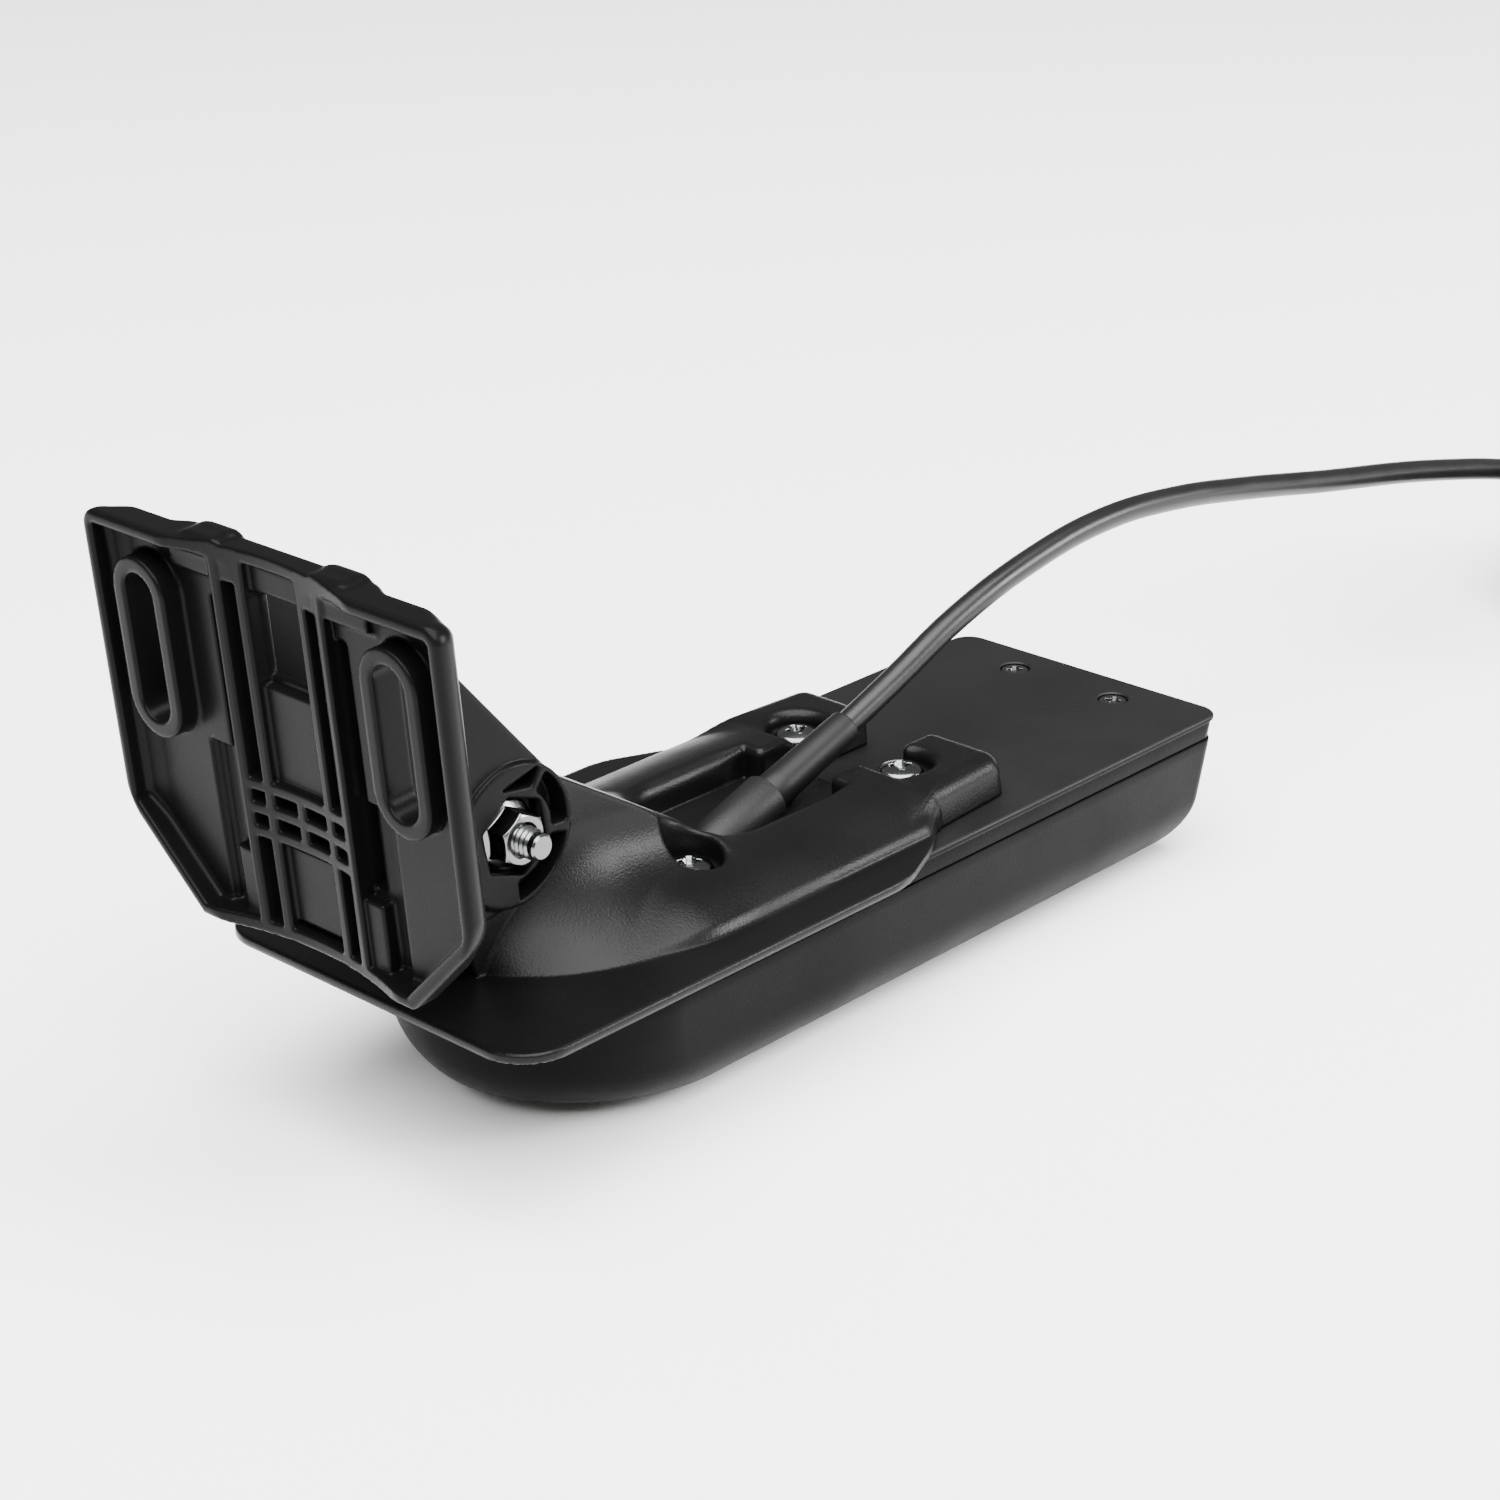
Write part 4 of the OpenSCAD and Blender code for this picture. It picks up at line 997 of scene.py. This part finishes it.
@dataclass
class Fasteners:
    """Pan-head saddle screws, fill plugs, and the flanged bolt and nut of the pivot."""

    head_d: float = 8.4
    head_h: float = 2.6
    dome_r: float = 9.0
    shank_d: float = 4.0
    screw_l: float = 10.5
    screw_cross: Triple = (2.3, 1.15, 1.5)
    plug_h: float = 1.5
    plug_foot: float = 27.2
    plug_cross: Triple = (1.7, 0.9, 0.7)
    hex_af: float = 8.0
    hex_h: float = 5.0
    flange_d: float = 11.4
    flange_box: Triple = (6.1, -0.4, 5.4)
    bolt_d: float = 5.0
    bolt_l: float = 42.5
    pitch: float = 1.0
    root: float = 0.36
    ridge: float = 0.42
    nose: float = 1.2
    thread_l: float = 15.0
    seat: float = 15.5
    net_step: float = 0.13

    def _cross(self, p: Array, top: float, arm: float, width: float, depth: float) -> Array:
        """Cross recess that tapers as it goes down."""
        x, y, down = np.abs(p[:, 0]), np.abs(p[:, 1]), top - p[:, 2]
        long, wide = arm - 0.6 * down, width / 2 - 0.05 * down
        slots = np.minimum(np.maximum(x - long, y - wide), np.maximum(y - long, x - wide))
        cone = (np.hypot(x, y) - 0.62 * arm + 0.55 * down) * 0.88
        return np.maximum(np.minimum(slots, cone), down - depth)

    def screw(self, p: Array) -> Array:
        """Pan-head screw, upright, its seat at the origin."""
        r, z = np.hypot(p[:, 0], p[:, 1]), p[:, 2]
        dome = np.hypot(r, z - self.head_h + self.dome_r) - self.dome_r
        head = common(common(r - self.head_d / 2, dome, 0.7), -z, 0.15)
        shank = common(r - self.shank_d / 2, between(z, -self.screw_l, 0.5), 0.4)
        return cut(joined(head, shank, 0.2), self._cross(p, self.head_h, *self.screw_cross), 0.12)

    def plug(self, p: Array) -> Array:
        """Round plug with a cross recess, its foot at the origin."""
        r, z = np.hypot(p[:, 0], p[:, 1]), p[:, 2]
        disc = common(r - FILL_D / 2, between(z, 0, self.plug_h), 0.45)
        return cut(disc, self._cross(p, self.plug_h, *self.plug_cross), 0.15)

    def flanged(self, p: Array, bored: bool) -> Array:
        """Flanged hexagon, chamfered, its seat at the origin, with or without a bore."""
        x, y, z = p[:, 0], p[:, 1], p[:, 2]
        r = np.hypot(x, y)
        bevel = (r - 0.49 * self.hex_af + (z - self.hex_h) * 1.73) / 2
        sides = common(six_sided(x, y, self.hex_af, 0.0), np.maximum(bevel, z - self.hex_h), 0.12)
        slope = (z - 0.75 - (self.flange_d / 2 - r) * 0.4) * 0.93
        flange = common(common(r - self.flange_d / 2, -z, 0.2), slope, 0.3)
        body = joined(np.maximum(sides, 0.3 - z), flange, 0.35)
        if not bored:
            return body
        mouth = (r - self.bolt_d / 2 - 0.5 + (self.hex_h - z)) * 0.7
        return np.maximum(body, -np.minimum(r - self.bolt_d / 2 - 0.05, mouth))

    def _item(self, name: str, shape: Field, box: Triple, limit: int) -> Object:
        """Meshes one small upright piece, in a box of half width, lower and upper height."""
        half, low, high = box
        net = Net(shape, (-half, -half, low), (half, half, high), self.net_step)
        return moulded(name, net, STEEL, limit)

    def scattered(self) -> None:
        """Puts the screws and the fill plugs in their places."""
        tree = scatter_tree()
        plugs = [(FILL_X, y, self.plug_foot) for y in (-FILL_Y, FILL_Y)]
        screws = [(x, y, SCREW_SEAT) for x in SCREW_XS for y in (-SCREW_Y, SCREW_Y)]
        groups = (
            ("saddle_screws_turned", "saddle_screws", screws, STEEL, 5, self.screw, (4.6, -11, 3.0), 16_000),
            ("fill_plugs_moulded", "fill_plugs", plugs, CAP, 2, self.plug, (3.2, -0.4, 1.9), 12_000))
        for name, node, spots, finish, seed, shape, box, limit in groups:
            item = self._item("item", shape, box, limit)
            made = piece(name, np.array(spots), [], finish)
            grow(made, tree, finish, Item=item, Turn=math.pi / 2, Seed=seed)
            dress(made, Body.TRANSDUCER, finish, node)

    def pivot(self, to_row: Field) -> None:
        """Makes the pivot's bolt and nut.

        Args:
            to_row: Moves points from the bracket's own frame to where it rests.
        """
        def near(p: Array) -> Array:
            return to_row(np.column_stack([p[:, 0], -p[:, 2] - self.seat, p[:, 1]]))

        def far(p: Array) -> Array:
            return to_row(np.column_stack([-p[:, 0], p[:, 2] + self.seat, p[:, 1]]))

        nut = self._item("pivot_nut_rolled", lambda p: self.flanged(p, True), self.flange_box, 40_000)
        dress(shifted(nut, near), Body.BRACKET, STEEL, "pivot_nut")
        head = self._item("head", lambda p: self.flanged(p, False), self.flange_box, 30_000)
        shifted(head, far)
        outside, nose, end = self.bolt_d / 2, self.nose, self.thread_l
        core = outside - self.root
        span = self.bolt_l - self.hex_h / 2
        tip = span - 2 * self.seat
        profile = [(core - 0.3, 0.0), (core + 0.05, 0.35), (core + 0.05, nose - 0.4), (core, nose),
                   (core, end), (outside, end + 0.5), (outside, span)]
        points, faces = turned(profile, 48)
        made = piece("pivot_bolt_rolled", points + (0, 0, -nose), faces, STEEL)
        wound = end - nose
        grow(made, thread_tree(), STEEL, Radius=(outside - self.ridge) * MM, Ridge=self.ridge * MM,
             Length=wound * MM, Turns=wound / self.pitch)
        sharpened(made, 35)
        shifted(made, lambda p: near(np.column_stack([p[:, 0], p[:, 1], tip - nose - p[:, 2]])))
        made.data.flip_normals()
        dress(united(made, head), Body.BRACKET, STEEL, "pivot_bolt")

    def build(self, to_row: Field) -> None:
        """Makes all fasteners."""
        self.scattered()
        self.pivot(to_row)


# Cable and its plug

@dataclass
class Plug:
    """Plug at the cable's end: grip, ribbed collar, insert and pins, and the strap that ties the coil."""

    start: Triple = (314.0, 0.0, 9.0)
    grip_d: float = 15.0
    grip_l: float = 30.0
    collar_d: float = 18.0
    collar_l: float = 19.98
    ribs: int = 18
    rib_depth: float = 0.7
    insert_r: float = 6.8
    insert_l: float = 10.0
    pins: int = 7
    pin_r: float = 0.6
    pin_l: float = 6.0
    strap_w: float = 12.0
    lap_half: float = 7.0
    coil_y: float = -42.3
    coil_half_w: float = 12.25
    coil_h: float = 29.4

    def along(self, offset: float) -> Field:
        """Map from upright at the origin to along the plug, offset from its start."""
        x, y, z = self.start
        return lambda p: np.column_stack([x + offset + p[:, 2], y + p[:, 1], z - p[:, 0]])

    def grip(self) -> Object:
        """Moulded grip with a tapered tail and ring grooves."""
        r, length, neck, taper_l = self.grip_d / 2, self.grip_l, 3.4, 12.5
        profile = [(2.45, 0.0), (3.1, 0.0), (neck, 0.3)]
        for h in np.linspace(1.5, taper_l, 12):
            profile.append((neck + (r - neck) * float(eased(h, 1.0, taper_l)), h))
        for h in (15.0, 18.5, 22.0, 25.5):
            profile += [(r, h - 0.8), (r - 0.5, h - 0.4), (r - 0.5, h + 0.4), (r, h + 0.8)]
        profile += [(r, length - 0.4), (r - 0.4, length)]
        made = shifted(piece("connector_body_moulded", *turned(profile, 72), PLUG), self.along(0))
        return dress(sharpened(made, 30), Body.TRANSDUCER, PLUG, "connector_body")

    def collar(self) -> Object:
        """Locking ring: a tube with two bands, and ribs grown round it."""
        out, length, bore = self.collar_d / 2, self.collar_l, self.insert_r + 0.05
        base = out - self.rib_depth
        profile = [(bore, 0.0), (out - 0.5, 0.0), (out, 0.5), (out, 2.7), (base, 3.2), (base, length - 3.2),
                   (out, length - 2.7), (out, length - 0.5), (out - 0.5, length), (bore + 0.4, length),
                   (bore, length - 0.4)]
        made = piece("connector_collar_moulded", *turned(profile, 96, loop=True), PLUG)
        half = math.pi * base / self.ribs - 0.6
        rib = []
        for h, w in ((3.0, 0.0), (3.3, 0.3), (length - 3.3, 0.3), (length - 3.0, 0.0)):
            top, low = out - 0.2 + w / 3, base - 0.1
            rib.append(np.array([(top, 0.2 - half, h), (top, half - 0.2, h),
                                 (low, half + w, h), (low, -half - w, h)]))
        item = piece("item", *stacked(rib), PLUG)
        grow(made, round_tree(), PLUG, Item=item, Count=self.ribs, Step=2 * math.pi / self.ribs)
        shifted(sharpened(made, 30), self.along(self.grip_l))
        return dress(made, Body.TRANSDUCER, PLUG, "connector_collar")

    def contacts(self) -> list[Object]:
        """Insert, and pins grown round a middle pin."""
        r, length = self.insert_r, self.insert_l
        rim = [(r, 0.0), (r, length - 0.3), (r - 0.3, length), (r - 1.2, length)]
        face = [(r - 1.3, length - 0.3), (0.5, length - 0.3)]
        insert = piece("connector_insert_moulded", *turned(rim + face, 64), PLUG)
        sharpened(shifted(insert, self.along(self.grip_l)), 30)
        thick, tall = self.pin_r, self.pin_l
        pin = [(thick, -0.3), (thick, tall - 0.6), (thick * 0.8, tall - 0.2), (thick * 0.4, tall)]
        points, faces = turned(pin, 20)
        made = piece("connector_pins_turned", points, faces, BRASS)
        item = piece("item", points + (r * 0.62, 0, 0), faces, BRASS)
        grow(made, round_tree(), BRASS, Item=item, Count=self.pins, Step=2 * math.pi / self.pins)
        shifted(sharpened(made, 40), self.along(self.grip_l + length))
        return [dress(insert, Body.TRANSDUCER, PLUG, "connector_insert"),
                dress(made, Body.TRANSDUCER, BRASS, "connector_pins")]

    def strap(self) -> Object:
        """Strap round the coil's section, with the lap of its end on top."""
        cx, cy, middle = COIL_X, self.coil_y, COIL_R
        t, mid_z = TIE_T, TIE_T + self.coil_h / 2

        def distance(p: Array) -> Array:
            x, y, z = p[:, 0] - cx, p[:, 1] - cy, p[:, 2]
            out = np.hypot(x, y)
            across = np.abs(np.arctan2(x, -y)) * out - self.strap_w * out / middle / 2
            wide, tall = np.abs(out - middle) - self.coil_half_w, np.abs(z - mid_z) - self.coil_h / 2
            hole = np.maximum(wide, tall)
            band = common(common(wide - t, tall - t, 1.4), across, 0.35)
            lap = common(np.abs(out - middle) - self.lap_half, z - mid_z - self.coil_h / 2 - t - 0.6, 0.3)
            lap = np.maximum(common(lap, across + 0.4, 0.3), mid_z - z)
            return np.maximum(np.minimum(band, lap), -hole) + 0.02

        low = (cx - 9.5, cy - middle - self.coil_half_w - t - 0.6, -0.6)
        high = (cx + 9.5, cy - middle + self.coil_half_w + t + 0.8, self.coil_h + 2 * t + 1.2)
        made = moulded("coil_tie_woven", Net(distance, low, high, 0.35), STRAP, 60_000)
        return dress(made, Body.TRANSDUCER, STRAP, "coil_tie")

    def build(self) -> list[Object]:
        """Makes the strap and the plug's pieces."""
        return [self.strap(), self.grip(), self.collar(), *self.contacts()]


@dataclass
class Cable:
    """Cable from the boot to its plug: a free stretch, a tied coil and a short tail."""

    diameter: float = 4.8
    pitch: float = 4.9
    turns: int = 5
    layers: int = 6
    steps: int = 18
    shift: float = 120.0
    lead: tuple[Triple, ...] = (
        (0.014863, 0, 0.039981), (0.027, 0, 0.0445), (0.046, 0, 0.052), (0.069, 0, 0.0575),
        (0.090, 0, 0.0595), (0.112, 0, 0.058), (0.136, 0, 0.054), (0.166, 0, 0.048),
        (0.198, 0, 0.042), (0.225, 0, 0.036), (0.250, 0, 0.030))
    tail: tuple[Triple, ...] = (
        (0.28232, 0, 0.00395), (0.2964, 0, 0.0066), (0.30608, 0, 0.0085), (0.314, 0, 0.009))

    @property
    def outer_r(self) -> float:
        """Radius of the coil's outermost turn."""
        return COIL_R + (self.turns - 1) * self.pitch / 2

    def _coil(self) -> list[Triple]:
        """Turns of the coil in metres: from the outside in and back out, one layer under the other.

        Each turn eases over to the next one, and each layer to the next one, along a part of the round.

        Returns:
            Points of the coil.
        """
        top = TIE_T + (self.layers - 0.5) * self.pitch
        radii = [self.outer_r - k * self.pitch for k in range(self.turns)]
        spans: list[Triple] = []
        for layer in range(self.layers):
            rounds = [360 - self.shift] * (self.turns - 1) + [360 - 2 * self.shift]
            for r, span in zip(radii[::-1] if layer % 2 else radii, rounds):
                spans.append((span, r, top - layer * self.pitch))
        turn, spots = 0.0, []
        for (span, r, z), (_, next_r, next_z) in zip(spans, spans[1:]):
            spots += [self._at(turn + span * i, r, z) for i in self._parts(span)]
            turn += span
            for i in self._parts(self.shift):
                share = (1 - math.cos(math.pi * i)) / 2
                over, down = (next_r - r) * share, (next_z - z) * share
                spots.append(self._at(turn + self.shift * i, r + over, z + down))
            turn += self.shift
        _, r, z = spans[-1]
        span = 360 * math.ceil((turn + self.shift / 2) / 360) - turn
        return spots + [self._at(turn + span * i, r, z) for i in (*self._parts(span), 1.0)]

    def _parts(self, span: float) -> list[float]:
        """Even shares of a stretch of the round, without its end."""
        count = max(2, round(span / 360 * self.steps))
        return [i / count for i in range(count)]

    def _at(self, turn: float, r: float, z: float) -> Triple:
        """Point on the coil, turn degrees clockwise from its start."""
        angle = math.radians(90 - turn)
        x, y = COIL_X + r * math.cos(angle), -self.outer_r + r * math.sin(angle)
        return (x * MM, y * MM, z * MM)

    def build(self, riders: Sequence[Object]) -> None:
        """Args:
            riders: Pieces on the cable: tie and plug. Not used.
        """
        spots = [*self.lead, *self._coil(), *self.tail]
        curve = bpy.data.curves.new("cable", "CURVE")
        curve.dimensions = "3D"
        curve.bevel_depth = self.diameter / 2 * MM
        curve.bevel_resolution = 5
        curve.resolution_u = 5
        curve.use_fill_caps = True
        line = curve.splines.new("BEZIER")
        line.bezier_points.add(len(spots) - 1)
        for knot, spot in zip(line.bezier_points, spots):
            knot.co = spot
            knot.handle_left_type = knot.handle_right_type = "AUTO"
        curve.materials.append(JACKET.material())
        made = placed("cable_jacketed", curve)
        dress(made, Body.TRANSDUCER, JACKET, "cable_lead", "cable_coil", "cable_tail")
        bpy.context.view_layer.update()


# Studio

@dataclass(frozen=True)
class Viewpoint:
    """Camera of the photograph: where it stands, where it looks and how long its lens is."""

    position: Triple = (-390.41, -360.84, 267.32)
    heading_deg: float = 46.495
    pitch_deg: float = 23.148
    roll_deg: float = 0.823
    lens_mm: float = 78.51

    def build(self) -> None:
        """Makes the camera."""
        h, p, r = (math.radians(v) for v in (self.heading_deg, self.pitch_deg, self.roll_deg))
        look = Vector((math.sin(h) * math.cos(p), math.cos(h) * math.cos(p), -math.sin(p)))
        level = Vector((math.cos(h), -math.sin(h), 0))
        upright = level.cross(look)
        right = level * math.cos(r) - upright * math.sin(r)
        up = right.cross(look)
        data = bpy.data.cameras.new("camera")
        data.lens = self.lens_mm
        data.sensor_width = 36.0
        data.clip_start = 0.01
        made = placed("camera", data)
        axes = Matrix((right, up, -look)).transposed().to_4x4()
        made.matrix_world = Matrix.Translation(Vector(self.position) * MM) @ axes
        bpy.context.scene.camera = made


@dataclass(frozen=True)
class Softbox:
    """Square area light that points at the part."""

    name: str
    position: Triple
    size: float
    watts: float
    target: Triple = (0.0, 0.0, 0.03)

    def build(self) -> None:
        """Makes the light."""
        data = bpy.data.lights.new(self.name, "AREA")
        data.size = self.size
        data.energy = self.watts
        made = placed(self.name, data)
        aim = (Vector(self.target) - Vector(self.position)).to_track_quat("-Z", "Y")
        made.matrix_world = Matrix.Translation(self.position) @ aim.to_matrix().to_4x4()


FLOOR_HALF = 6.0
SURROUND = 0.3


def studio() -> None:
    """Makes the pale floor, the soft lights and the white surround."""
    floor = bpy.data.meshes.new("floor")
    corners = [(x * FLOOR_HALF, y * FLOOR_HALF, 0) for x, y in ((-1, -1), (1, -1), (1, 1), (-1, 1))]
    floor.from_pydata(corners, [], [(0, 1, 2, 3)])
    # Matt white paper: it shows the part's soft shadow and no shine
    paper = bpy.data.materials.new("paper_white")
    paper.use_nodes = True
    sheet = paper.node_tree
    feed(sheet, sheet.nodes["Principled BSDF"], {"Base Color": linear("#f4f4f3"), "Roughness": 0.9})
    floor.materials.append(paper)
    placed("floor", floor)
    world = bpy.data.worlds.new("surround")
    world.use_nodes = True
    sky = world.node_tree
    feed(sky, sky.nodes["Background"], {"Color": linear("#ffffff"), "Strength": SURROUND})
    bpy.context.scene.world = world
    Softbox("top_light", (-0.4, -0.4, 1.7), 2.4, 270).build()
    Softbox("side_light", (0.9, -0.95, 0.52), 0.5, 30).build()


def dress_solids() -> None:
    """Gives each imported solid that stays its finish."""
    finishes = {
        "potting_block": RESIN, "side_scan_elements": CERAMIC, "down_scan_element": CERAMIC,
        "chirp_element": CERAMIC, "element_backing": PAD, "circuit_board": BOARD,
        "temperature_sensor": BRASS}
    for name, finish in finishes.items():
        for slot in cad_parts[name].material_slots:
            slot.material = finish.material()
        LOG.info("%s: packed solid in %s", name, finish.name)


def main() -> None:
    """Builds the part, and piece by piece."""
    logging.basicConfig(level=logging.INFO, format="%(name)s: %(message)s")
    Viewpoint().build()
    studio()
    dress_solids()
    Hull().build()
    Saddle().build()
    bracket = Bracket()
    bracket.build()
    Fasteners().build(bracket.to_row)
    Cable().build(Plug().build())


if __name__ == "__main__":
    main()
